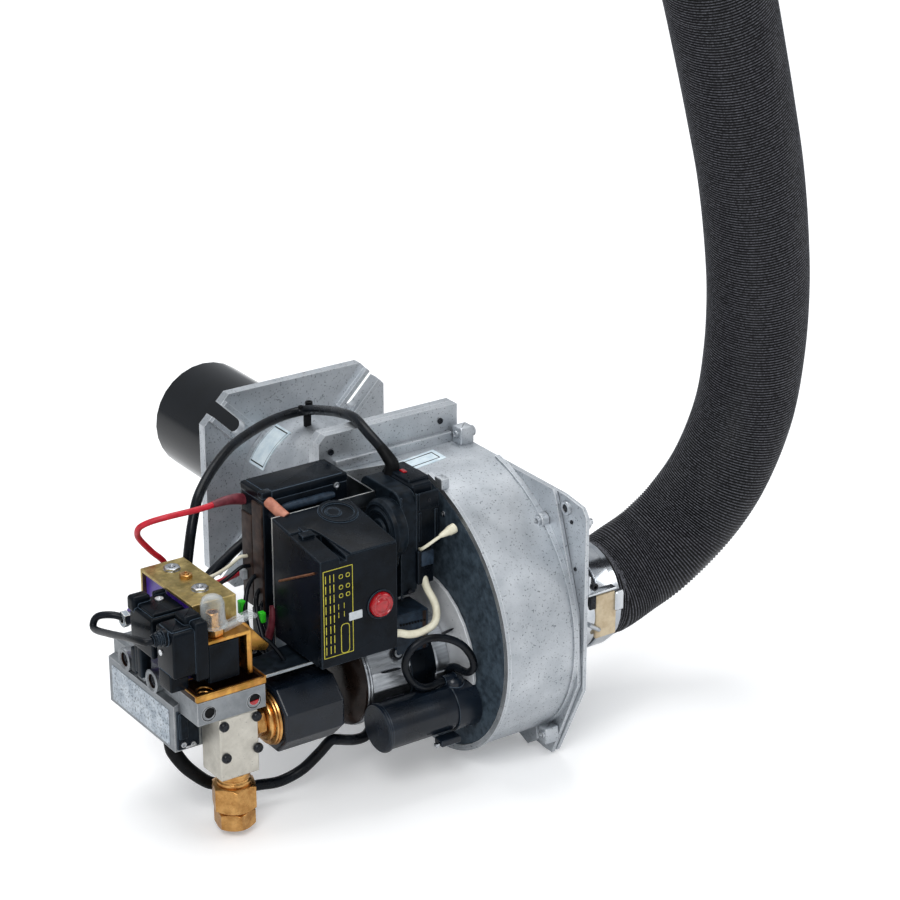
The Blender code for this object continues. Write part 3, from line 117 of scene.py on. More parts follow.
WIRES = {
    "wire_a": (4.6, "black_pvc", [
        (-157, -196, -8), (-160, -197, -9), (-166, -204, -14), (-170, -214, -26), (-172, -224, -38),
        (-174, -232, -47), (-175, -236, -50)]),
    "wire_b": (4.2, "black_pvc", [
        (-157, -190, 4), (-161, -191, 3), (-170, -196, -4), (-177, -204, -20), (-180, -214, -36), (-181, -222, -47),
        (-181, -226, -50)]),
    "wire_c": (3.6, "black_pvc", [
        (-157, -200, -18), (-160, -202, -20), (-163, -208, -30), (-163, -216, -42), (-162, -220, -48),
        (-161, -222, -52)]),
    "wire_d": (4.0, "black_pvc", [
        (-186, -226, -49), (-186, -228, -46), (-185, -236, -34), (-181, -244, -30), (-176, -250, -36),
        (-172, -256, -44), (-170, -258, -50)]),
    "wire_e": (3.2, "cream_pvc", [
        (-157, -176, 18), (-160, -177, 18.5), (-166, -177, 19), (-176, -175, 12), (-186, -170, 5), (-196, -164, 0),
        (-200, -160, -4)]),
    "wire_f": (3.6, "black_pvc", [
        (-157, -180, 10), (-160, -181, 10.5), (-167, -181, 11), (-178, -179, 4), (-190, -175, -4), (-202, -170, -10),
        (-205, -168, -12)]),
}
GAS_PIPE = [(-198.2, -147, -92), (-184.7, -147, -92), (-168.7, -147, -92), (-128.7, -144, -98), (-90, -135, -106),
            (-50, -128, -110), (-27, -128, -104), (-20, -128, -88.3), (-20, -128, -81.3), (-20, -128, -74.8)]


# ---------------------------------------------------------------- surfaces

def grid(rows, columns, wrap_rows=False, wrap_columns=False):
    """Quads between the points of a grid, whose point (r, c) is number r * columns + c."""
    r, c = np.meshgrid(np.arange(rows - (not wrap_rows)), np.arange(columns - (not wrap_columns)), indexing="ij")
    down, across = (r + 1) % rows, (c + 1) % columns
    return np.stack([r * columns + c, r * columns + across, down * columns + across, down * columns + c],
                    -1).reshape(-1, 4)


def capped(rows, columns):
    """The quads of a grid whose rows are closed, and a flat face on its first and its last row."""
    last = (rows - 1) * columns
    return [*grid(rows, columns, False, True).tolist(), tuple(range(columns)), tuple(range(last, last + columns))]


def place(axis, along, u, v):
    """Points from distances along an axis and two across it: X gives (a, u, v), Y (u, a, v), Z (u, v, a)."""
    order = {"X": (along, u, v), "Y": (u, along, v), "Z": (u, v, along)}[axis]
    return np.stack(np.broadcast_arrays(*order), -1).astype(float)


def basis(axis):
    """Along and across: the named axis and two across it, or the same for any direction."""
    if isinstance(axis, str):
        return AXES[axis]
    d = np.asarray(axis, float) / np.linalg.norm(axis)
    u = np.cross(d, [0, 0, 1.0] if abs(d[2]) < 0.9 else [1.0, 0, 0])
    u /= np.linalg.norm(u)
    return np.stack([d, u, np.cross(d, u)])


def unit(rows):
    """Each row divided by its length."""
    return rows / np.maximum(np.linalg.norm(rows, axis=-1, keepdims=True), 1e-12)


def circle(angle, u, v):
    """cos a * u + sin a * v for each angle, between the rows and x, y, z."""
    return np.cos(angle)[None, :, None] * u + np.sin(angle)[None, :, None] * v


def new_object(name, data):
    """An object in the scene."""
    thing = bpy.data.objects.new(name, data)
    bpy.context.scene.collection.objects.link(thing)
    return thing


def new_mesh(name, points, faces):
    """A closed mesh from points in millimetres, its doubles merged and its faces turned outwards."""
    mesh = bpy.data.meshes.new(name)
    mesh.from_pydata((np.asarray(points, float).reshape(-1, 3) * MM).tolist(), [], [tuple(f) for f in faces])
    work = bmesh.new()
    work.from_mesh(mesh)
    bmesh.ops.remove_doubles(work, verts=work.verts, dist=2e-6)
    bmesh.ops.dissolve_degenerate(work, edges=work.edges, dist=1e-6)
    bmesh.ops.recalc_face_normals(work, faces=work.faces)
    work.to_mesh(mesh)
    work.free()
    return mesh


def piece(name, parts, finish, body="burner", stands_for=(), crease=CREASE_DEG):
    """One object from a list of (points, faces), riding on a body, in one finish."""
    points, faces, start = [], [], 0
    for some, ring in parts:
        some = np.asarray(some, float).reshape(-1, 3)
        points.append(some)
        faces += [tuple(int(i) + start for i in face) for face in ring]
        start += len(some)
    mesh = new_mesh(name, np.concatenate(points), faces)
    mesh.shade_smooth()
    mesh.set_sharp_from_angle(angle=radians(crease))
    thing = new_object(name, mesh)
    mesh.materials.append(material(finish))
    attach(thing, body)
    if stands_for:
        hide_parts(*stands_for)
    return thing


def soften(outline, radius, steps=4):
    """A closed outline with round corners: corner P becomes (1-t)^2 A + 2t(1-t) P + t^2 B, between the points
    A and B that lie radius away from P along its two edges. A radius of 0 keeps a corner."""
    p = np.array(outline, float)
    before, after = np.roll(p, 1, 0) - p, np.roll(p, -1, 0) - p
    shortest = np.minimum(np.linalg.norm(before, axis=1), np.linalg.norm(after, axis=1))
    reach = np.minimum(np.broadcast_to(radius, len(p)), 0.45 * shortest)[:, None]
    a, b = p + unit(before) * reach, p + unit(after) * reach
    t = np.linspace(0, 1, steps + 1)[None, :, None]
    return ((1 - t) ** 2 * a[:, None] + 2 * t * (1 - t) * p[:, None] + t ** 2 * b[:, None]).reshape(-1, 2)


def lathe(axis, centre, profile, steps=96, soft=0.0):
    """A closed profile of (along, radius) points turned about an axis: the point at angle a is
    centre + along * axis + radius * (cos a, sin a) across it. soft rounds the profile's corners."""
    line = np.array(profile, float)
    if soft:
        line = soften(line, np.where(line[:, 1] > 1e-6, soft, 0.0), 3)
    angle = np.arange(steps) * tau / steps
    d, u, v = basis(axis)
    points = np.asarray(centre, float) + line[:, :1, None] * d + line[:, 1:, None] * circle(angle, u, v)
    return points, grid(len(line), steps, True, True)


def washer(axis, centre, lo, hi, outer, inner, steps, soft):
    """A disc from lo to hi along an axis, or a ring where inner isn't 0."""
    return lathe(axis, centre, [(lo, inner), (lo, outer), (hi, outer), (hi, inner)], steps, soft)


def miter(outline):
    """At each corner of a closed outline, the way that keeps an inset the same distance from both its edges."""
    p = np.asarray(outline, float)
    edge = unit(np.roll(p, -1, 0) - p)
    n_after = np.stack([edge[:, 1], -edge[:, 0]], -1)
    n_before = np.roll(n_after, 1, 0)
    both = n_before + n_after
    share = both / np.maximum(1 + (n_before * n_after).sum(1, keepdims=True), 0.35)
    area = (p[:, 0] * np.roll(p[:, 1], -1) - np.roll(p[:, 0], -1) * p[:, 1]).sum()
    return share * (1 if area > 0 else -1)


def rounded_ends(lo, hi, edge, steps):
    """Distances along an axis from lo to hi, and how far an outline draws in at each. Near both ends it draws in by
    edge * (1 - sin a) while it travels edge * (1 - cos a), so that its rims are a quarter round."""
    a = np.linspace(0, tau / 4, steps + 1)
    rise, inset = edge * (1 - np.cos(a)), edge * (1 - np.sin(a))
    return np.concatenate([lo + rise, hi - rise[::-1]]), np.concatenate([inset, inset[::-1]])[:, None, None]


def slab(axis, outline, lo, hi, edge=0.8, steps=3):
    """An outline carried along an axis from lo to hi, with round rims and flat ends."""
    p = np.asarray(outline, float)
    along, pull = rounded_ends(lo, hi, edge, steps)
    rows = p[None] - miter(p)[None] * pull
    return place(axis, along[:, None], rows[..., 0], rows[..., 1]), capped(len(along), len(p))


def framed(axis, outer, inner, lo, hi, edge=0.6, steps=3):
    """A plate with one hole: for each point of the outline the closed run inner-lo, outer-lo, outer-hi, inner-hi,
    with the outer rim round. Both outlines have the same number of points."""
    p, q = np.asarray(outer, float), np.asarray(inner, float)
    along, pull = rounded_ends(lo, hi, edge, steps)
    along = np.concatenate([[lo], along, [hi]])
    rows = np.concatenate([q[None], p[None] - miter(p)[None] * pull, q[None]])
    return place(axis, along[:, None], rows[..., 0], rows[..., 1]), grid(len(along), len(p), True, True)


def box_outline(lo, hi, corner=2.0, steps=4):
    """A rectangle with round corners between two corners."""
    return soften([(lo[0], lo[1]), (hi[0], lo[1]), (hi[0], hi[1]), (lo[0], hi[1])], corner, steps)


def block(lo, hi, edge=1.0):
    """A box between two corners whose twelve edges are round: a rounded rectangle carried up Z."""
    return slab("Z", box_outline(lo[:2], hi[:2], edge), lo[2], hi[2], edge)


def screw(axis, seat, sign, radius, height, socket=0.5):
    """A cap screw on its seat, facing along sign * axis: a disc with a round rim and a recess of socket * radius,
    turned from its profile, which starts 0.8 mm under the seat."""
    line = [(-0.8, 0), (-0.8, radius), (height, radius), (height, radius * socket),
            (height * 0.3, radius * socket * 0.92), (height * 0.3, 0)]
    return lathe(axis, seat, [(a * sign, r) for a, r in line], 28, soft=min(0.35, height / 5))


def hexagon(axis, centre, lo, hi, flats, bore=0.0, turn=0.0):
    """A chamfered nut. At angle a its radius is the smaller of the hexagon's, flats / 2 / cos b with b the angle from
    the middle of the nearest flat, and that of the chamfer cones, which start at 0.94 * flats / 2 on both faces."""
    inner, corner = 0.94 * flats / 2, flats / 2 / cos(tau / 12)
    share = np.linspace(0, 1, 7)
    limit, rise = inner + (corner * 1.001 - inner) * share, (corner - inner) * 0.58 * share
    along = np.concatenate([[lo], lo + rise, hi - rise[::-1], [hi]])
    limit = np.concatenate([[bore], limit, limit[::-1], [bore]])
    steps = 96
    a = np.arange(steps) * tau / steps
    radius = np.minimum(limit[:, None], flats / 2 / np.cos(a % (tau / 6) - tau / 12)[None, :])
    d, u, v = basis(axis)
    points = np.asarray(centre, float) + along[:, None, None] * d + radius[..., None] * circle(a + turn, u, v)
    return points, grid(len(along), steps, True, True)


def strip(axis, path, profile):
    """A closed profile of (along, out) points carried along a line drawn across an axis: each point is
    path(s) + out * normal(s), at its own distance along the axis. Its ends are flat."""
    p, q = np.asarray(path, float), np.asarray(profile, float)
    tangent = unit(np.gradient(p, axis=0))
    normal = np.stack([tangent[:, 1], -tangent[:, 0]], -1)
    rows = p[:, None] + normal[:, None] * q[None, :, 1, None]
    return place(axis, q[None, :, 0], rows[..., 0], rows[..., 1]), capped(len(p), len(q))


def coil_path(axis, centre, radius, lo, hi, turns, steps=24):
    """A helix: centre + along * axis + radius * (cos a, sin a), with along growing evenly with a."""
    a = np.linspace(0, tau * turns, int(steps * turns) + 1)
    d, u, v = basis(axis)
    return (np.asarray(centre, float) + np.linspace(lo, hi, len(a))[:, None] * d
            + radius * (np.cos(a)[:, None] * u + np.sin(a)[:, None] * v))


def scroll_line(start, end=90.0, steps=180):
    """The housing's outer wall as (y, z): r = radius + growth * ((deg - start) / span) ** power about the shaft, from
    the tongue round to the top."""
    deg = np.linspace(start, end, steps)
    r = SCROLL["radius"] + SCROLL["growth"] * ((deg - SCROLL["start"]) / SCROLL["span"]) ** SCROLL["power"]
    return np.stack([SHAFT[0] - r * np.cos(np.radians(deg)), SHAFT[1] + r * np.sin(np.radians(deg))], -1)


def smooth_path(route, spacing):
    """Points a spacing apart on a smooth curve through a route. Between b and c of the points a, b, c, d it is the
    cubic 0.5 (2b + (c-a) t + (2a-5b+4c-d) t^2 + (3b-a-3c+d) t^3), and its first and last stretches are straight."""
    k = np.array(route, float)
    a, b, c, d = (k[i:len(k) - 3 + i][:, None] for i in range(4))
    t = (np.arange(40) / 40)[None, :, None]
    middle = 0.5 * (2 * b + (c - a) * t + (2 * a - 5 * b + 4 * c - d) * t ** 2 + (3 * b - a - 3 * c + d) * t ** 3)
    line = np.concatenate([k[:1], middle.reshape(-1, 3), k[-2:]])
    far = np.concatenate([[0], np.cumsum(np.linalg.norm(np.diff(line, axis=0), axis=1))])
    stops = np.linspace(0, far[-1], max(int(far[-1] / spacing), 4) + 1)
    return np.stack([np.interp(stops, far, line[:, i]) for i in range(3)], -1), stops


def turned_along(path):
    """Two unit vectors across a path at each of its points, carried along it without twist: each keeps the last one's
    direction less its share along the path."""
    t = unit(np.gradient(path, axis=0))
    side = np.empty_like(path)
    start = np.cross(t[0], [0, 0, 1.0] if abs(t[0][2]) < 0.9 else [1.0, 0, 0])
    side[0] = start / np.linalg.norm(start)
    for i in range(1, len(path)):
        carried = side[i - 1] - t[i] * side[i - 1].dot(t[i])
        side[i] = carried / np.linalg.norm(carried)
    return side, np.cross(t, side)


def tube(path, radius, around=20):
    """A round bar along a path: path(s) + radius(s) * (cos a, sin a) across it, closed flat at both ends."""
    side, up = turned_along(path)
    a = np.arange(around) * tau / around
    radius = np.broadcast_to(radius, len(path))[:, None, None]
    return path[:, None] + radius * circle(a, side[:, None], up[:, None]), capped(len(path), around)


def rod(start, end, count, radius, around=10):
    """A straight round bar in count rings, whose radius is one number or one for each ring."""
    return tube(np.linspace(start, end, count), radius, around)


def routed(route, spacing, radius, around=28, stops=(0,)):
    """A round bar on the smooth curve through a route. A radius that changes is reached at the rings that stops
    numbers, and at the last ring."""
    path, _ = smooth_path(route, spacing)
    if np.ndim(radius):
        radius = np.interp(np.arange(len(path)), (*stops, len(path) - 1), radius)
    return tube(path, radius, around)


def hollow_tube(path, outer, inner, inner_rows=80):
    """A tube with a wall: the outer surface path(s) + outer(s) * (cos a, sin a), and back inside it at a smaller
    radius, as one closed run of rows."""
    side, up = turned_along(path)
    a = np.arange(HOSE_AROUND) * tau / HOSE_AROUND
    rings = circle(a, side[:, None], up[:, None])
    outside = path[:, None] + np.broadcast_to(outer, len(path))[:, None, None] * rings
    back = np.linspace(len(path) - 1, 0, inner_rows).round().astype(int)
    points = np.concatenate([outside, path[back][:, None] + inner * rings[back]])
    return points, grid(len(points), HOSE_AROUND, True, True)


def merged_copy(node, bevel, segments, finish):
    """A copy of a CAD node whose loose triangles are joined, its flat faces made whole and its edges rounded."""
    work = bmesh.new()
    work.from_mesh(frame["nodes"][node].data)
    bmesh.ops.remove_doubles(work, verts=work.verts, dist=2e-6)
    bmesh.ops.dissolve_limit(work, angle_limit=radians(FLAT_DEG), verts=work.verts, edges=work.edges)
    mesh = bpy.data.meshes.new(node + "_dressed")
    work.to_mesh(mesh)
    work.free()
    mesh.shade_smooth()
    mesh.set_sharp_from_angle(angle=radians(CREASE_DEG))
    mesh.materials.clear()
    mesh.materials.append(material(finish))
    thing = new_object(node + "_dressed", mesh)
    edge = thing.modifiers.new("Edges", "BEVEL")
    edge.width, edge.segments = bevel * MM, segments
    edge.limit_method, edge.angle_limit = "ANGLE", radians(CREASE_DEG)
    edge.use_clamp_overlap = edge.harden_normals = True
    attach(thing, NODE_BODY[node])
    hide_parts(node)
    return thing


def paint(node, finish):
    """Gives a CAD node that stays visible a finish of this scene."""
    mesh = frame["nodes"][node].data
    mesh.materials.clear()
    mesh.materials.append(material(finish))


# ---------------------------------------------------------------- finishes

def linear(colour):
    """An sRGB hex colour as linear red, green, blue and 1."""
    parts = [int(colour[i:i + 2], 16) / 255 for i in (1, 3, 5)]
    return (*[c / 12.92 if c <= 0.04045 else ((c + 0.055) / 1.055) ** 2.4 for c in parts], 1.0)


def add(tree, kind, settings=(), links=()):
    """Adds one node with its properties and socket values, and links from other nodes' outputs."""
    node = tree.nodes.new(kind)
    for key, value in dict(settings).items():
        if isinstance(key, str) and hasattr(node, key):
            setattr(node, key, value)
        else:
            node.inputs[key].default_value = value
    for key, output in dict(links).items():
        tree.links.new(output, node.inputs[key])
    return node


def mottle(tree, shader, where, low, high, size_mm, detail=4.0, spread=(0.35, 0.65), middle=None):
    """Colour between two tones, hex or the name of a setting, on a cloud pattern of a real size, past a third tone
    halfway if middle is given."""
    settings = bpy.context.scene.burner
    cloud = add(tree, "ShaderNodeTexNoise", {"Scale": 1000 / size_mm, "Detail": detail, "Roughness": 0.6},
                {"Vector": where})
    ramp = add(tree, "ShaderNodeValToRGB", links={"Fac": cloud.outputs["Fac"]})
    for stop, place_on, tone in zip(ramp.color_ramp.elements, spread, (low, high)):
        stop.position, stop.color = place_on, linear(getattr(settings, tone, tone))
    if middle:
        ramp.color_ramp.elements.new(0.5).color = linear(middle)
    tree.links.new(ramp.outputs["Color"], shader.inputs["Base Color"])


def gloss(tree, shader, where, low, high, size_mm):
    """Roughness between two values on a cloud pattern of a real size."""
    cloud = add(tree, "ShaderNodeTexNoise", {"Scale": 1000 / size_mm, "Detail": 3.0}, {"Vector": where})
    spread = add(tree, "ShaderNodeMapRange", {"From Min": 0.3, "From Max": 0.7, "To Min": low, "To Max": high},
                 {"Value": cloud.outputs["Fac"]})
    tree.links.new(spread.outputs["Result"], shader.inputs["Roughness"])


def grain(tree, shader, where, size_mm, height_mm, detail=2.0):
    """Relief of a real grain size and height."""
    cloud = add(tree, "ShaderNodeTexNoise", {"Scale": 1000 / size_mm, "Detail": detail, "Roughness": 0.6},
                {"Vector": where})
    relief = add(tree, "ShaderNodeBump", {"Strength": 1.0, "Distance": height_mm * MM},
                 {"Height": cloud.outputs["Fac"]})
    tree.links.new(relief.outputs["Normal"], shader.inputs["Normal"])


def overlay(tree, shader, much, colour):
    """Blends what the base colour reads towards another colour, as far as an output says."""
    socket = shader.inputs["Base Color"]
    blend = add(tree, "ShaderNodeMix", {"data_type": "RGBA"})
    blend.inputs[7].default_value = linear(colour)
    tree.links.new(much, blend.inputs[0])
    tree.links.new(socket.links[0].from_socket, blend.inputs[6])
    tree.links.new(blend.outputs[2], socket)


def speckle(tree, shader, where, dark, size_mm, start):
    """Small dark specks of a real size, where the noise is over start."""
    dots = add(tree, "ShaderNodeTexNoise", {"Scale": 1000 / size_mm, "Detail": 2.0, "Roughness": 0.5},
               {"Vector": where})
    spread = add(tree, "ShaderNodeMapRange",
                 {"From Min": start, "From Max": start + 0.06, "To Min": 0.0, "To Max": 0.7},
                 {"Value": dots.outputs["Fac"]})
    overlay(tree, shader, spread.outputs["Result"], dark)


def painted_edge_highlight(tree, shader, where, pale, width_mm, much=0.8):
    """Paler edges over a real width, a painted highlight along the rims: they show where the normal, rounded over
    that width by a Bevel node, turns away from the surface's own."""
    round_over = add(tree, "ShaderNodeBevel", {"samples": 4, "Radius": width_mm * MM})
    own = add(tree, "ShaderNodeNewGeometry")
    agree = add(tree, "ShaderNodeVectorMath", {"operation": "DOT_PRODUCT"},
                {0: round_over.outputs["Normal"], 1: own.outputs["Normal"]})
    edge = add(tree, "ShaderNodeMapRange", {"From Min": 0.995, "From Max": 0.90, "To Min": 0.0, "To Max": much},
               {"Value": agree.outputs["Value"]})
    overlay(tree, shader, edge.outputs["Result"], pale)


def drawn_lines(tree, shader, where, low, high):
    """Colour between two tones on lines that run along the shaft, 1000 / 18 mm long and 1000 / 420 mm apart."""
    fine = add(tree, "ShaderNodeMapping", {"Scale": (18.0, 420.0, 420.0)}, {"Vector": where})
    lines = add(tree, "ShaderNodeTexNoise", {"Scale": 1.0, "Detail": 2.0}, {"Vector": fine.outputs["Vector"]})
    ramp = add(tree, "ShaderNodeValToRGB", links={"Fac": lines.outputs["Fac"]})
    for stop, place_on, tone in zip(ramp.color_ramp.elements, (0.3, 0.7), (low, high)):
        stop.position, stop.color = place_on, linear(tone)
    tree.links.new(ramp.outputs["Color"], shader.inputs["Base Color"])


def painted_crest_light(tree, shader, where, low, high):
    """Colour between two tones as painted light on the ribs: nearer to the high one, a painted highlight, the higher
    a point lies on its rib, times a 1.6 mm weave; the low one is painted shade in the grooves.
    """
    rib = add(tree, "ShaderNodeAttribute", {"attribute_name": "rib"})
    weave = add(tree, "ShaderNodeTexNoise", {"Scale": 1000 / 1.6, "Detail": 2.0}, {"Vector": where})
    pale_share = add(tree, "ShaderNodeMapRange", {"From Min": 0.34, "From Max": 0.66, "To Min": 0.35, "To Max": 1.0},
               {"Value": weave.outputs["Fac"]})
    much = add(tree, "ShaderNodeMath", {"operation": "MULTIPLY"}, {0: rib.outputs["Fac"], 1: pale_share.outputs["Result"]})
    ramp = add(tree, "ShaderNodeValToRGB", links={"Fac": much.outputs[0]})
    for stop, place_on, tone in zip(ramp.color_ramp.elements, (0.15, 0.95), (low, high)):
        stop.position, stop.color = place_on, linear(tone)
    tree.links.new(ramp.outputs["Color"], shader.inputs["Base Color"])


def thin_wall(tree, shader, where, straight, grazing):
    """See-through plastic: its alpha goes from straight, where it is looked straight at, to grazing at its rims."""
    rim = add(tree, "ShaderNodeLayerWeight", {"Blend": 0.5})
    wall = add(tree, "ShaderNodeMapRange", {"From Min": 0.1, "From Max": 0.95, "To Min": straight, "To Max": grazing},
               {"Value": rim.outputs["Facing"]})
    tree.links.new(wall.outputs["Result"], shader.inputs["Alpha"])


def skin(ior, specular=0.5):
    """The shader's values for a surface that isn't metal."""
    return {"IOR": ior, "Specular IOR Level": specular}


METAL = {"Metallic": 1.0}

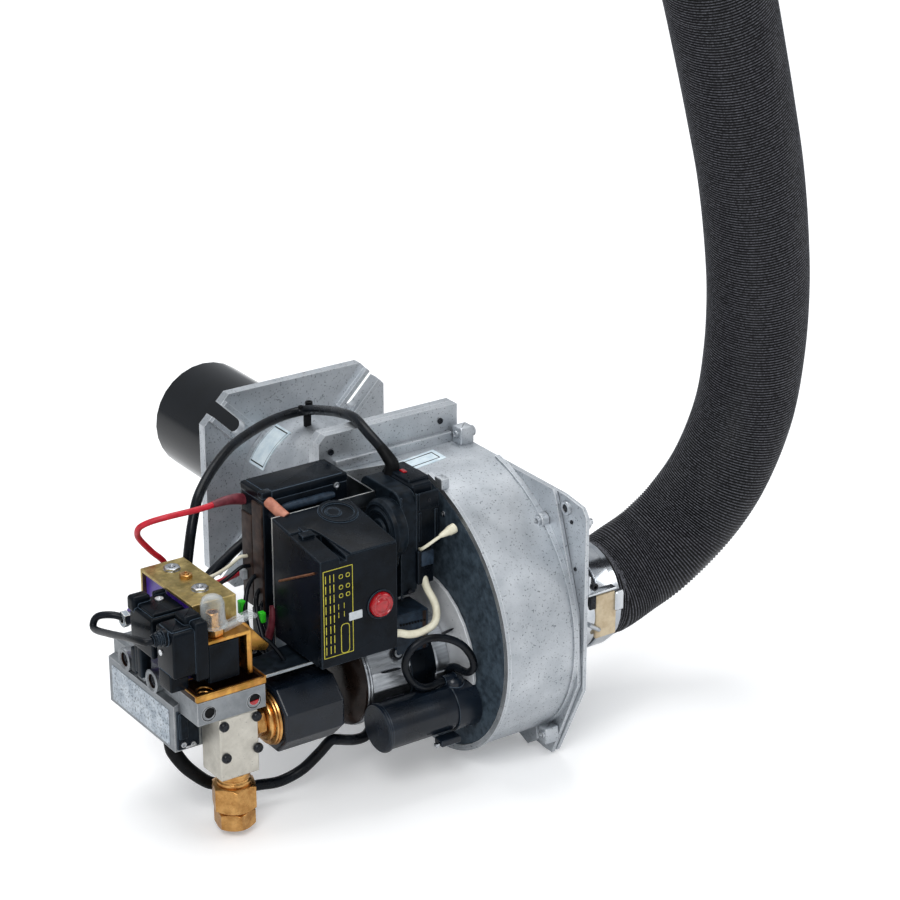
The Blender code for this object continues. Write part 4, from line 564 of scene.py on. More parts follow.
# Each finish: the shader's own values, and then its layers with their sizes in millimetres
FINISHES = {
    # Gravity-cast aluminium left bare: a pale grey skin with fine dark pores that scatters light without a mirror
    "cast_aluminium": (METAL, (mottle, "cast_dark", "cast_pale", 26.0, 6.0, (0.3, 0.7)),
        (speckle, "#5F646A", 1.8, 0.62), (painted_edge_highlight, "#E6E8EA", 1.4), (gloss, 0.46, 0.58, 18.0),
        (grain, 1.9, 0.09, 3.0)),
    # The motor's flange: cast, then faced on a lathe; paler and more even than the housing, its colour lightened as
    # painted light to make up for the shade it sits in
    "flange_aluminium": ({"Metallic": 0.5}, (mottle, "#DADDE0", "#ECEEF0", 14.0, 5.0, (0.3, 0.7)),
        (speckle, "#8A9096", 1.8, 0.68), (gloss, 0.5, 0.6, 12.0)),
    # Die-cast valve body, tumbled and dulled by handling: greyer than the housing, with fine dark pores
    "cast_zinc": (METAL, (mottle, "#7C8084", "#999DA0", 16.0, 6.0, (0.3, 0.7)), (speckle, "#585C61", 1.6, 0.66),
        (painted_edge_highlight, "#CFD1D3", 1.2), (gloss, 0.42, 0.56, 12.0), (grain, 2.0, 0.07, 3.0)),
    # Die-cast zinc adapter, tumbled smooth: pale with a warm cast and soft cloudy patches
    "tumbled_block": (METAL, (mottle, "#BEBAB0", "#D6D2C8", 11.0, 5.0, (0.3, 0.7)), (speckle, "#8E8B84", 1.5, 0.68),
        (gloss, 0.44, 0.56, 7.0), (grain, 1.7, 0.05, 2.0)),
    # Drawn and turned aluminium: brighter than the castings, with faint lines that run along the shaft
    "machined_aluminium": (METAL, (drawn_lines, "#A8ACB1", "#CDD1D5"), (gloss, 0.30, 0.40, 8.0)),
    # Polished stainless band: nearly a mirror, with a little rolling haze
    "polished_steel": (METAL, (mottle, "#BFC4CA", "#DADDE0", 20.0, 3.0), (gloss, 0.10, 0.20, 16.0)),
    # Heat-proof black enamel sprayed on rolled steel: satin, with the faint orange peel of a spray gun
    "tube_enamel": (skin(1.42, 0.4), (mottle, "#04070B", "#090D13", 30.0), (gloss, 0.08, 0.14, 25.0),
        (grain, 7.0, 0.05)),
    # Bright zinc on steel screws, nuts and clamps: a bluish silver with cloudy patches
    "plated_steel": (METAL, (mottle, "#A7ABB0", "#CBCED1", 5.0), (gloss, 0.24, 0.40, 4.0)),
    # Passivated zinc on pressed sheet: blue-grey with roller marks, and a painted highlight along its edges
    "zinc_sheet": (METAL, (mottle, "#727A82", "#90989F", 18.0), (painted_edge_highlight, "#FBF8EC", 1.0, 1.0),
        (gloss, 0.30, 0.46, 12.0), (grain, 3.0, 0.03)),
    # Yellow chromate on zinc: gold that drifts to green and rose as the film's thickness changes
    "yellow_chromate": (METAL, (mottle, "#A37A38", "#DDAA58", 16.0, 3.0, (0.35, 0.65), "#C08A4A"),
        (gloss, 0.26, 0.42, 9.0)),
    # Brass bar turned and milled to a union: coppery where it has dulled, with fine tool marks
    "turned_brass": (METAL, (mottle, "#B07F48", "#D9A868", 9.0), (gloss, 0.22, 0.38, 5.0), (grain, 1.6, 0.02)),
    # Blue-black structured powder coat on sheet steel: fine even pimples that break up every highlight
    "cover_enamel": (skin(1.5, 0.2), (mottle, "#28323B", "#46535E", 7.0), (gloss, 0.42, 0.55, 10.0),
        (grain, 2.2, 0.16)),
    # Brown-black dip paint on the motor's end bell: glossy where it ran thick
    "bell_enamel": (skin(1.5, 0.2), (mottle, "#17110E", "#2A1F1A", 20.0), (gloss, 0.22, 0.36, 18.0),
        (grain, 6.0, 0.06)),
    # Injection-moulded black polyamide with a polished mould face; the slight blue in its black is a painted tint of
    # the cool reflection on its top faces, and its pale rims are a painted highlight
    "gloss_plastic": (skin(1.53, 0.08), (mottle, "#06090D", "#0F151C", 22.0), (painted_edge_highlight, "#566472", 1.1, 0.7),
        (gloss, 0.20, 0.32, 30.0), (grain, 14.0, 0.05)),
    # Black lacquer on the capacitor's can and the round coil's jacket, shinier than moulded plastic: its blue-black
    # is a painted tint of its bluish highlights, and its pale rims are a painted highlight
    "gloss_lacquer": (skin(1.53, 0.34), (mottle, "#090F17", "#131C27", 40.0), (gloss, 0.22, 0.32, 30.0),
        (painted_edge_highlight, "#566472", 1.1, 0.7)),
    # Injection-moulded black polyamide from a spark-eroded mould: an even fine tooth and a soft sheen
    "matt_plastic": (skin(1.53, 0.08), (mottle, "#0A0F14", "#182028", 8.0), (painted_edge_highlight, "#5D6B78", 1.2, 0.7),
        (gloss, 0.30, 0.44, 8.0), (grain, 1.8, 0.06)),
    # Violet casting resin round the coils' windings: smooth, slightly waxy
    "violet_resin": (skin(1.52, 0.35), (mottle, "coil_dark", "coil_pale", 12.0), (gloss, 0.24, 0.38, 9.0),
        (grain, 7.0, 0.08)),
    # Translucent red acrylic of the reset button
    "button_red": ({"IOR": 1.49, "Coat Weight": 0.4, "Coat Roughness": 0.08}, (mottle, "#8A0812", "#B30F1C", 6.0),
        (gloss, 0.14, 0.24, 5.0)),
    # Clear polycarbonate: see-through where it is looked straight at, and grey where the wall turns away
    "clear_polycarbonate": (skin(1.45), (thin_wall, 0.10, 0.62), (mottle, "#B9C0C2", "#D8DDDD", 15.0),
        (gloss, 0.05, 0.12, 8.0)),
    # Salmon-coloured moulded spacer: matt with a chalky bloom
    "salmon_moulding": (skin(1.5), (mottle, "#A0604C", "#C08068", 7.0), (gloss, 0.45, 0.6, 5.0)),
    # Neoprene-coated fabric over a wire: black grooves as painted shade and paler crests as a painted highlight along
    # each rib, broken by a fine weave
    "hose_rubber": (skin(1.5, 0.15), (painted_crest_light, "#08080A", "#6E6F76"), (gloss, 0.42, 0.6, 22.0)),
    # Extruded black PVC sheath: smooth with long soft highlights
    "black_pvc": (skin(1.54, 0.16), (mottle, "#07090C", "#12171E", 18.0), (gloss, 0.22, 0.36, 14.0)),
    # Silicone ignition lead: a deep red skin with a soft, slightly dusty sheen
    "red_silicone": (skin(1.45), (mottle, "#A80F22", "#CC1B33", 12.0), (gloss, 0.34, 0.48, 9.0)),
    # Off-white PVC sheath, yellowed a little by heat
    "cream_pvc": (skin(1.54), (mottle, "#D6D0B8", "#EDE8D2", 14.0), (gloss, 0.34, 0.48, 9.0)),
    # Glazed steatite: white with a hard gloss
    "glazed_steatite": (skin(1.6), (mottle, "#D8D6CC", "#EFEEE6", 9.0), (gloss, 0.12, 0.22, 6.0)),
    # Blank polyester sticker, pale blue-white: flat, with faint handling marks
    "pale_sticker": (skin(1.5), (mottle, "#C2D3DC", "#DCE8ED", 9.0, 6.0), (gloss, 0.34, 0.46, 9.0)),
    # Blank metallised sticker: silver-grey and flat
    "grey_sticker": (skin(1.5), (mottle, "#A9AFB4", "#C3C8CB", 8.0, 5.0), (gloss, 0.36, 0.48, 7.0)),
    # Blank rating sticker rubbed by handling: pale blue-grey with dense darker wear
    "worn_plate_sticker": (skin(1.5), (mottle, "#9AA5B0", "#C6CED5", 10.0, 6.0), (speckle, "#4B535C", 2.0, 0.56),
        (gloss, 0.36, 0.5, 9.0)),
    # Blank heat-aged paper label: beige with faint stains
    "kraft_sticker": (skin(1.45), (mottle, "#C4AE8C", "#DAC8A8", 9.0, 5.0), (gloss, 0.5, 0.64, 8.0)),
    # Bare copper edge, slightly dulled
    "copper_wire": (METAL, (mottle, "#9A5F3E", "#C98A62", 6.0), (gloss, 0.28, 0.42, 5.0)),
    # Yellow chromate on zinc that has aged: olive and bronze patches with brighter spots, and a painted highlight
    # along its edges
    "olive_chromate": (METAL, (mottle, "#857848", "#D0BC82", 9.0, 5.0, (0.28, 0.74), "#A6935E"),
        (speckle, "#5B4A2A", 2.2, 0.64), (painted_edge_highlight, "#F6D898", 1.2), (gloss, 0.34, 0.5, 7.0)),
    # Black-oxide steel screws: almost black with a soft oily sheen
    "oiled_black_steel": (skin(1.6, 0.2), (mottle, "#0C0E12", "#1C2028", 4.0), (gloss, 0.24, 0.36, 3.0)),
    # Soft black PVC of boots, clips and printed rules, and the painted shade in the tray's port bores: no mirror at
    # all
    "soft_black": (skin(1.5, 0.1), (mottle, "#08090A", "#121315", 6.0), (gloss, 0.42, 0.56, 5.0)),
    # Dark brown paint inside the regulator's tray, with a painted warm reflection of the brass springs
    "tray_paint_and_reflection": (skin(1.5, 0.1), (mottle, "#120A07", "#2A160C", 9.0), (gloss, 0.3, 0.42, 7.0)),
    # Blue-black moulded polyester of the terminal parts: darker and cooler than the polyamide
    "blue_black_plastic": (skin(1.53, 0.2), (mottle, "#18222D", "#303E4D", 9.0), (gloss, 0.3, 0.44, 7.0)),
    # Brown-black phenolic side of the transformer, with a chalky flow pattern; its brown is partly a painted
    # highlight of the left face
    "brown_phenolic_and_sheen": (skin(1.55, 0.15), (mottle, "#1E1512", "#43332C", 10.0, 6.0), (gloss, 0.36, 0.5, 8.0)),
    # Dark red rubber sleeve, dusty
    "dark_red_rubber": (skin(1.5), (mottle, "#541420", "#74303A", 6.0), (gloss, 0.42, 0.56, 5.0)),
    # Bright green nylon terminal housings
    "green_nylon": (skin(1.53), (mottle, "#23B81E", "#3ADB2A", 5.0), (gloss, 0.3, 0.42, 4.0)),
    # Yellow screen-printed ink: opaque, slightly uneven
    "yellow_print": (skin(1.5), (mottle, "#A39A22", "#C9BF35", 4.0), (gloss, 0.4, 0.5, 4.0)),
    # White zinc screw heads of the plugs
    "white_zinc": (METAL, (mottle, "#D6D8DA", "#F0F1F2", 3.0), (gloss, 0.24, 0.36, 3.0)),
}


def material(finish):
    """The one material of a finish, made from its row when first asked for."""
    made = bpy.data.materials.get(finish)
    if made:
        return made
    values, *layers = FINISHES[finish]
    made = bpy.data.materials.new(finish)
    made.use_nodes = True
    tree = made.node_tree
    shader = tree.nodes["Principled BSDF"]
    for key, value in values.items():
        shader.inputs[key].default_value = value
    where = add(tree, "ShaderNodeTexCoord").outputs["Object"]
    for layer, *sizes in layers:
        layer(tree, shader, where, *sizes)
    return made


# ---------------------------------------------------------------- settings and operators

class BurnerSettings(bpy.types.PropertyGroup):
    """Sizes and colours that a user would change."""
    cast_dark: bpy.props.StringProperty(name="Casting, dark", default="#B4B9BE",
                                        description="Darker tone of the bare castings, as sRGB hex")
    cast_pale: bpy.props.StringProperty(name="Casting, pale", default="#CBCFD3",
                                        description="Paler tone of the bare castings, as sRGB hex")
    coil_dark: bpy.props.StringProperty(name="Coil, dark", description="Darker tone of the coils, as sRGB hex",
                                        default="#40248A")
    coil_pale: bpy.props.StringProperty(name="Coil, pale", description="Paler tone of the coils, as sRGB hex",
                                        default="#5A38AA")
    rib_pitch: bpy.props.FloatProperty(name="Rib pitch", description="Distance between two ribs of the air hose",
                                       default=0.0030, min=0.002, max=0.01, unit="LENGTH")
    rib_depth: bpy.props.FloatProperty(name="Rib depth", description="Depth of the grooves between the hose's ribs",
                                       default=0.0012, min=0.0003, max=0.004, unit="LENGTH")
    hose_width: bpy.props.FloatProperty(name="Hose width", description="Outside diameter of the air hose",
                                        default=0.094, min=0.08, max=0.1, unit="LENGTH")


class BURNER_OT_stage(bpy.types.Operator):
    """Camera at the photograph's angle, pale floor, plain studio light"""
    bl_idname = "burner.stage"
    bl_label = "Stage"

    def execute(self, context):
        scene = context.scene
        scene.view_settings.view_transform = "Standard"
        lens = bpy.data.cameras.new("camera")
        lens.lens, lens.sensor_width = LENS, FILM
        lens.clip_start, lens.clip_end = 0.05, 50.0
        camera = new_object("camera", lens)
        turn, rise = radians(CAMERA_TURN), radians(CAMERA_RISE)
        back = Vector((sin(turn) * cos(rise), -cos(turn) * cos(rise), sin(rise)))
        camera.location = CAMERA_AT
        camera.rotation_mode = "QUATERNION"
        camera.rotation_quaternion = (-back).to_track_quat("-Z", "Y")
        scene.camera = camera

        x, y = np.meshgrid(*[np.linspace(-FLOOR_HALF, FLOOR_HALF, FLOOR_LINES)] * 2)
        mesh = bpy.data.meshes.new("floor")
        points = np.stack([x, y, np.full_like(x, FLOOR_Z)], -1).reshape(-1, 3) * MM
        mesh.from_pydata(points.tolist(), [], grid(FLOOR_LINES, FLOOR_LINES).tolist())
        floor = new_object("floor", mesh)
        paper = bpy.data.materials.new("studio_floor")
        paper.use_nodes = True
        shader = paper.node_tree.nodes["Principled BSDF"]
        shader.inputs["Base Color"].default_value = linear("#F6F6F6")
        shader.inputs["Roughness"].default_value = 0.9
        shader.inputs["Specular IOR Level"].default_value = 0.1
        # Some of the white that the camera sees comes from the floor itself, and more of it where the lamps' light
        # runs out, 1 to 4 m from the burner, so that the floor stays white to its edge and keeps its shadow
        tree = paper.node_tree
        ray = add(tree, "ShaderNodeLightPath")
        glow = add(tree, "ShaderNodeEmission", {"Color": (1, 1, 1, 1)})
        spot = add(tree, "ShaderNodeTexCoord")
        far = add(tree, "ShaderNodeVectorMath", {"operation": "LENGTH"}, {0: spot.outputs["Object"]})
        own = add(tree, "ShaderNodeMapRange", {"From Min": 1.0, "From Max": 4.0, "To Min": 0.22, "To Max": 0.62},
                  {"Value": far.outputs["Value"]})
        share = add(tree, "ShaderNodeMath", {"operation": "MULTIPLY"},
                    {0: ray.outputs["Is Camera Ray"], 1: own.outputs["Result"]})
        tree.links.new(share.outputs[0], glow.inputs["Strength"])
        both = add(tree, "ShaderNodeAddShader", links={0: shader.outputs[0], 1: glow.outputs[0]})
        tree.links.new(both.outputs[0], tree.nodes["Material Output"].inputs["Surface"])
        mesh.materials.append(paper)

        world = bpy.data.worlds.new("studio")
        scene.world = world
        world.use_nodes = True
        tree = world.node_tree
        tree.nodes.clear()
        out = add(tree, "ShaderNodeOutputWorld")
        ray = add(tree, "ShaderNodeLightPath")
        seen = add(tree, "ShaderNodeMath", {"operation": "MAXIMUM"},
                   {0: ray.outputs["Is Camera Ray"], 1: ray.outputs["Is Transmission Ray"]})
        soft = add(tree, "ShaderNodeBackground", {"Color": linear("#E9EDF2"), "Strength": 0.56})
        white = add(tree, "ShaderNodeBackground", {"Color": (1, 1, 1, 1), "Strength": 1.0})
        mix = add(tree, "ShaderNodeMixShader", links={0: seen.outputs[0], 1: soft.outputs[0], 2: white.outputs[0]})
        tree.links.new(mix.outputs[0], out.inputs["Surface"])

        for name, (at, size, power) in LAMPS.items():
            lamp = bpy.data.lights.new(name, "AREA")
            lamp.shape, lamp.size, lamp.energy = "SQUARE", size, power
            thing = new_object(name, lamp)
            thing.location = at
            thing.rotation_mode = "QUATERNION"
            thing.rotation_quaternion = (LAMPS_FACE - Vector(at)).to_track_quat("-Z", "Y")
        return {"FINISHED"}


class BURNER_OT_hose(bpy.types.Operator):
    """Ribbed air hose from the intake to the cuff above the view"""
    bl_idname = "burner.hose"
    bl_label = "Air hose"

    def execute(self, context):
        values = context.scene.burner
        pitch, depth, outer = values.rib_pitch / MM, values.rib_depth / MM, values.hose_width / MM / 2
        path, far = smooth_path(HOSE_ROUTE, pitch / 5)
        # radius = outer - depth * (1 + cos(2 pi s / pitch)) / 2: one crest and one groove every pitch
        ribs = outer - depth * (1 + np.cos(tau * far / pitch)) / 2
        hose = piece("air_hose_ribbed", [hollow_tube(path, ribs, outer - HOSE_WALL)], "hose_rubber",
                     stands_for=("air_hose",), crease=80.0)
        # rib, the painted highlight on the crests, is 1 on each crest of the outside and 0 in the grooves and inside
        crest = ((1 - np.cos(tau * far / pitch)) / 2) ** 3
        inside = len(hose.data.vertices) - HOSE_AROUND * len(far)
        pale_share = np.concatenate([np.repeat(crest, HOSE_AROUND), np.zeros(inside)])
        hose.data.attributes.new("rib", "FLOAT", "POINT").data.foreach_set("value", pale_share.astype(np.float32))
        cuff = merged_copy("duct_cuff", 0.8, 2, "gloss_plastic")
        return {"FINISHED"}


class BURNER_OT_leads(bpy.types.Operator):
    """Power, ignition, motor and valve leads"""
    bl_idname = "burner.leads"
    bl_label = "Leads"

    def execute(self, context):
        for node, (width, finish, route) in LEADS.items():
            piece(node + "_sheath", [routed(route, 2.5, width / 2, 20)], finish, stands_for=(node,))
        return {"FINISHED"}


# The CAD parts whose own shape is right, by operator: their finish, and how far their edges are rounded
DRESSED = {
    "head": {"blast_tube": ("tube_enamel", 0.6), "mounting_flange": ("cast_aluminium", 1.4),
        "burner_neck": ("cast_aluminium", 1.2), "gas_head_pipe": ("plated_steel", 0.3),
        "flame_diffuser": ("plated_steel", 0.3), "ignition_electrode": ("glazed_steatite", 0.2),
        "ionisation_electrode": ("glazed_steatite", 0.2)},
    "housing": {"volute_housing": ("cast_aluminium", 1.0), "motor_side_cover": ("cover_enamel", 0.6),
        "inlet_plate_inner": ("cast_aluminium", 0.8), "inlet_plate_outer": ("cast_aluminium", 0.8)},
    "motor": {"motor_flange": ("flange_aluminium", 0.6), "motor_body": ("machined_aluminium", 0.3),
        "motor_end_bell": ("bell_enamel", 0.8), "capacitor": ("gloss_lacquer", 0.8),
        "motor_terminal_block": ("blue_black_plastic", 0.8)},
    "intake": {"suction_box": ("cast_aluminium", 1.5), "inlet_spigot": ("polished_steel", 0.6),
        "hose_clamp": ("polished_steel", 0.4)},
    "controls": {"mounting_bracket": ("zinc_sheet", 0.4), "control_box": ("gloss_plastic", 1.2),
        "switch_frame": ("matt_plastic", 1.2), "switch_membrane_housing": ("gloss_plastic", 0.8),
        "switch_cover": ("gloss_plastic", 1.2)},
    "valve": {"gas_valve_body": ("cast_zinc", 1.2), "rear_yoke": ("olive_chromate", 0.6),
        "rear_coil_1": ("violet_resin", 1.5), "rear_coil_2": ("violet_resin", 1.5),
        "front_yoke": ("yellow_chromate", 0.6), "front_coil": ("gloss_plastic", 1.5),
        "regulator_box": ("cast_zinc", 1.0), "inlet_block": ("tumbled_block", 1.2),
        "side_coil": ("gloss_lacquer", 3.0)},
}
# The ones that are left as they are, with a finish of this scene
PAINTED = {"impeller": "plated_steel", "motor_shaft": "plated_steel", "air_damper": "zinc_sheet",
    "rear_armature_1": "plated_steel", "rear_armature_2": "plated_steel", "front_armature": "plated_steel",
    "side_armature": "plated_steel"}
PRINT_Y = (-300.15, -299.9)    # the thickness of the print on the control box's front
BOSSES_Y = (-209, -159)        # the two test bosses on the valve's left face


def dress(group):
    """Rounds and finishes the CAD parts of a group whose own shape is right."""
    for node, (finish, bevel) in DRESSED[group].items():
        merged_copy(node, bevel, 3 if bevel > 1 else 2, finish)


def box_slope(parts):
    """Lets parts down towards the front as the control box's lid falls: 12 mm over its depth of 78 mm from y -222."""
    return [(points - (-222 - points[..., 1:2]) * 12 / 78 * AXES["Z"][0], faces) for points, faces in parts]


def wrapped(radius, from_deg, to_deg, lo, hi, rise):
    """A thin plate bent round the Y axis: at each angle the closed run (lo, r), (lo, r + rise), (hi, r + rise),
    (hi, r), with its two ends flat."""
    a = np.radians(np.linspace(from_deg, to_deg, 40))
    line = np.array([(lo, radius), (lo + 0.3, radius + rise), (hi - 0.3, radius + rise), (hi, radius)], float)
    along, r = line[None, :, 0], line[None, :, 1]
    return place("Y", along, r * np.cos(a)[:, None], r * np.sin(a)[:, None]), capped(len(a), 4)


def printed_frame(lo, hi, width, corner=0.8):
    """A printed frame on the control box: the band between a rectangle and the same one drawn in by its width."""
    inner = box_outline((lo[0] + width, lo[1] + width), (hi[0] - width, hi[1] - width), max(corner - width, 0.05))
    return framed("Y", box_outline(lo, hi, corner), inner, *PRINT_Y, 0.1, 1)


def printed_bar(x, z, width, height):
    """A printed bar on the control box."""
    return slab("Y", box_outline((x, z), (x + width, z + height), 0.2, 1), *PRINT_Y, 0.05, 1)


class BURNER_OT_head(bpy.types.Operator):
    """Blast tube, flange and neck, and the gas head inside them"""
    bl_idname = "burner.head"
    bl_label = "Burner head"

    def execute(self, context):
        dress("head")
        piece("neck_label", [wrapped(67.8, 116, 154, -43, -17.5, 0.7)], "pale_sticker")
        piece("neck_label_rule", [
            wrapped(68.2, 118, 119, -41, -19, 0.45), wrapped(68.2, 151, 152, -41, -19, 0.45),
            wrapped(68.2, 118, 152, -41.4, -40.6, 0.45), wrapped(68.2, 118, 152, -19.4, -18.6, 0.45)], "soft_black")
        piece("cable_clip", [
            block((-17, -49.5, 63), (-10.5, -44, 80), 1.5), block((-23, -48.5, 77.8), (-6, -41, 80.2)),
            lathe("Z", (-19.5, -44.8, 0), [(79, 0), (79, 2.6), (86.5, 2.6), (86.5, 1.3), (85.2, 1.1), (85.2, 0)], 24,
                0.4),
            lathe("Z", (-9.8, -43.6, 0), [(79, 0), (79, 3.6), (88.5, 3.6), (88.5, 1.9), (87.0, 1.6), (87.0, 0)], 28,
                0.5)], "soft_black")
        return {"FINISHED"}


class BURNER_OT_housing(bpy.types.Operator):
    """Fan housing with its rims, bosses and labels, its cover and inlet plates"""
    bl_idname = "burner.housing"
    bl_label = "Fan housing"

    def execute(self, context):
        dress("housing")
        lip = [(2.9, -1.5), (2.9, 0.7), (3.4, 1.1), (5.4, 1.1), (6.4, 0.7), (6.8, -1.5)]
        far_lip = [(76.2, -1.5), (76.6, 0.5), (77.4, 1.1), (80.4, 1.3), (81.2, 0.8), (81.2, -1.5)]
        piece("scroll_rims", [
            strip("X", scroll_line(-214), lip), strip("X", scroll_line(-214), far_lip)], "cast_aluminium")
        piece("rail_ledge", [block((-60, -171.5, 73.4), (66, -165.2, 83.5), 1.2)], "cast_aluminium")
        piece("housing_bosses", [
            lathe("X", (0, -296, 37.8), [(73.5, 0), (73.5, 6.4), (81, 7.0), (81, 0)], 40, 0.8),
            block((0.4, -250, 68), (9, -238.5, 78.6), 1.4), block((65.8, -185.6, 73), (81, -171, 90.4), 2.6),
            lathe("X", (0, -178.2, 83), [(79, 0), (79, 5.4), (84.6, 5.0), (84.6, 0)], 32, 0.8),
            block((66, -322, -176), (81.2, -310, -160), 2.0)], "cast_aluminium")
        piece("housing_screws", [
            screw("X", (73.5, -296, 37.8), -1, 5.0, 2.2), screw("X", (65.8, -178.2, 83), -1, 3.6, 1.6, 0.55),
            screw("X", (66, -317.2, -166.5), -1, 3.6, 2.0),
            lathe("X", (0, -321.8, 56.5), [(83.2, 3.7), (83.2, 6.4), (85.8, 6.8), (85.8, 3.7)], 40, 0.4),
            hexagon("X", (0, -340.5, 47), 89.4, 95, 11, 0), washer("X", (0, -340.5, 47), 94, 99, 3, 0, 24, 0.5),
            hexagon("X", (0, -178, 45), 89.4, 95, 11, 0)], "plated_steel")
        # The black disc inside the ring at y -321.8 and the small black screw at y -329.2 stand for dark holes in the
        # plate: painted shade
        piece("housing_small_screws_and_hole_shade", [
            screw("Y", (-63.2, -167.3, 91.8), -1, 2.9, 1.0), screw("Y", (56, -166, 94.4), -1, 2.9, 1.0),
            washer("X", (0, -321.8, 56.5), 84.4, 86.2, 4, 0, 32, 0.2), screw("X", (85.6, -329.2, 45.4), -1, 1.9, 0.8),
            screw("X", (85.6, -336, 2), -1, 1.9, 0.8)], "oiled_black_steel")
        piece("cover_screws", [screw("X", (3, -249.5, 45.2), -1, 2.6, 1.2)], "plated_steel")
        label = soften([(-11.1, -187.1), (-11.4, -209.2), (39.0, -201.7), (39.3, -179.1)], 1.5)
        piece("housing_label", [slab("Z", label, 73.8, 74.6, 0.15)], "pale_sticker")
        frame_out = np.array([(-6.1, -190.1), (-6.3, -204.4), (34.2, -198.4), (34.4, -183.9)])
        middle = frame_out.mean(0)
        frame_in = middle + (frame_out - middle) * (0.955, 0.88)
        piece("housing_label_rule", [
            framed("Z", soften(frame_out, 0.5, 2), soften(frame_in, 0.5, 2), 74.5, 74.85, 0.05, 1)], "soft_black")
        return {"FINISHED"}


class BURNER_OT_motor(bpy.types.Operator):
    """Motor, its flange, end bell and capacitor"""
    bl_idname = "burner.motor"
    bl_label = "Motor"

    def execute(self, context):
        dress("motor")
        middle = (0, *SHAFT)
        piece("motor_dark_band", [
            lathe("X", middle, [(-46, 45), (-46, 47.0), (-45, 47.4), (-21, 47.4), (-20, 47.0), (-20, 45)], 120, 0.3)],
            "gloss_plastic")
        piece("motor_rings", [
            lathe("X", middle, [(-92.6, 44), (-92.6, 47.0), (-91.4, 47.6), (-90.2, 47.0), (-90.2, 46.2),
                (-89.4, 46.2), (-89.4, 47.0), (-88.2, 47.6), (-87.0, 47.0), (-87.0, 44)], 120, 0.2),
            lathe("X", middle, [(-20, 44), (-20, 46.9), (-18, 47.4), (-6, 47.4), (-6, 44)], 120, 0.3)],
            "machined_aluminium")
        out = np.array([0, -38.9, 26.4]) / 47.0
        seat = np.array([-57.0, SHAFT[0], SHAFT[1]]) + out * 46.8
        piece("motor_screw", [screw(out, seat, 1, 3.6, 3.0)], "plated_steel")
        piece("motor_screw_washer", [screw(out, seat, 1, 5.6, 1.2)], "oiled_black_steel")
        flat = np.array([0, -46.9, 3.2]) / 47.0
        fin_at = np.array([-67.0, SHAFT[0], SHAFT[1]]) + flat * 46.4
        piece("motor_fins", [
            rod((-77.5, -269.3, -82.2), (-57.2, -269.5, -83.2), 8, [0.4, 1, 1.1, 1.1, 1.1, 1.1, 1, 0.4]),
            rod((-6.6, -256.5, -70.2), (-6.6, -279.5, -53.6), 8, [0.3, 1, 1.3, 1.3, 1.3, 1.2, 1, 0.2]),
            rod(fin_at + (-10, 0, -14), fin_at + (12, 0, -14.6), 6, 0.8)], "oiled_black_steel")
        piece("motor_lug", [
            block((-22.5, -273.5, -103.2), (-2, -268.6, -97), 1.2),
            washer("X", (0, -262, -84), -18, -5.5, 4.2, 0, 28, 0.8)], "plated_steel")
        piece("terminal_ridge", [
            block((x, -267.6, z), (x + 1.9, -265.8, z + 1.9), 0.4)
            for x, z in zip(np.linspace(-56, -31, 9), np.linspace(-43.4, -44.8, 9))], "soft_black")
        piece("terminal_cover", [block((-31.5, -266.9, -72), (-27.5, -264, -35))], "brown_phenolic_and_sheen")
        piece("capacitor_details", [
            lathe("X", (0, -288.6, -124), [(-21.6, 20), (-21.6, 22.9), (-20.6, 23.2), (2.2, 23.2), (2.6, 22.6),
                (2.6, 20)], 96, 0.3),
            lathe("X", (0, -288.6, -124), [(-95.2, 19), (-95.2, 21.6), (-93.8, 22.9), (-91.4, 22.9), (-91.4, 19)], 96,
                0.3),
            lathe("Z", (-13.8, -288.6, 0), [(-108, 0), (-108, 9.6), (-98.6, 9.6), (-95.6, 7.6), (-94.6, 4.5),
                (-94.4, 0)], 48, 0.8),
            block((-42, -312.5, -149.5), (-21, -300, -143), 1.5)], "gloss_lacquer")
        piece("capacitor_terminal", [block((-47, -310.5, -149), (-42.4, -306, -145.4), 0.8)], "plated_steel")
        return {"FINISHED"}


class BURNER_OT_intake(bpy.types.Operator):
    """Intake box, spigot with its bands, and hose clamp"""
    bl_idname = "burner.intake"
    bl_label = "Air intake"

    def execute(self, context):
        dress("intake")
        middle = (0, SHAFT[0], -90)
        piece("spigot_bands", [
            lathe("X", middle, [(142.4, 47), (142.4, 50.2), (143.4, 51.0), (158.6, 51.0), (159.6, 50.2), (159.6, 47)],
                128, 0.3),
            lathe("X", middle, [(163.2, 47), (163.2, 50.6), (164.2, 51.6), (181, 51.6), (182, 50.6), (182, 46)], 128,
                0.3)], "polished_steel")
        piece("spigot_seam", [
            washer("X", middle, 159.4, 163.4, 49.4, 46, 128, 0.2),
            block((150, -275.9, -81), (157, -273.4, -67.5), 0.8), screw("Y", (153.4, -275.2, -57), -1, 3.6, 3.4)],
            "oiled_black_steel")
        piece("spigot_bracket", [
            block((147, -276.8, -66.4), (180, -262, -63.8), 0.7), block((147, -276.2, -66.4), (150, -270, -46), 0.7)],
            "polished_steel")
        piece("spigot_label", [block((156.6, -276.2, -112), (180.2, -272.4, -68.2))], "kraft_sticker")
        piece("spigot_low_screw", [rod((148, -277, -95), (160, -277, -103), 6, 2.1, 16)], "plated_steel")
        return {"FINISHED"}


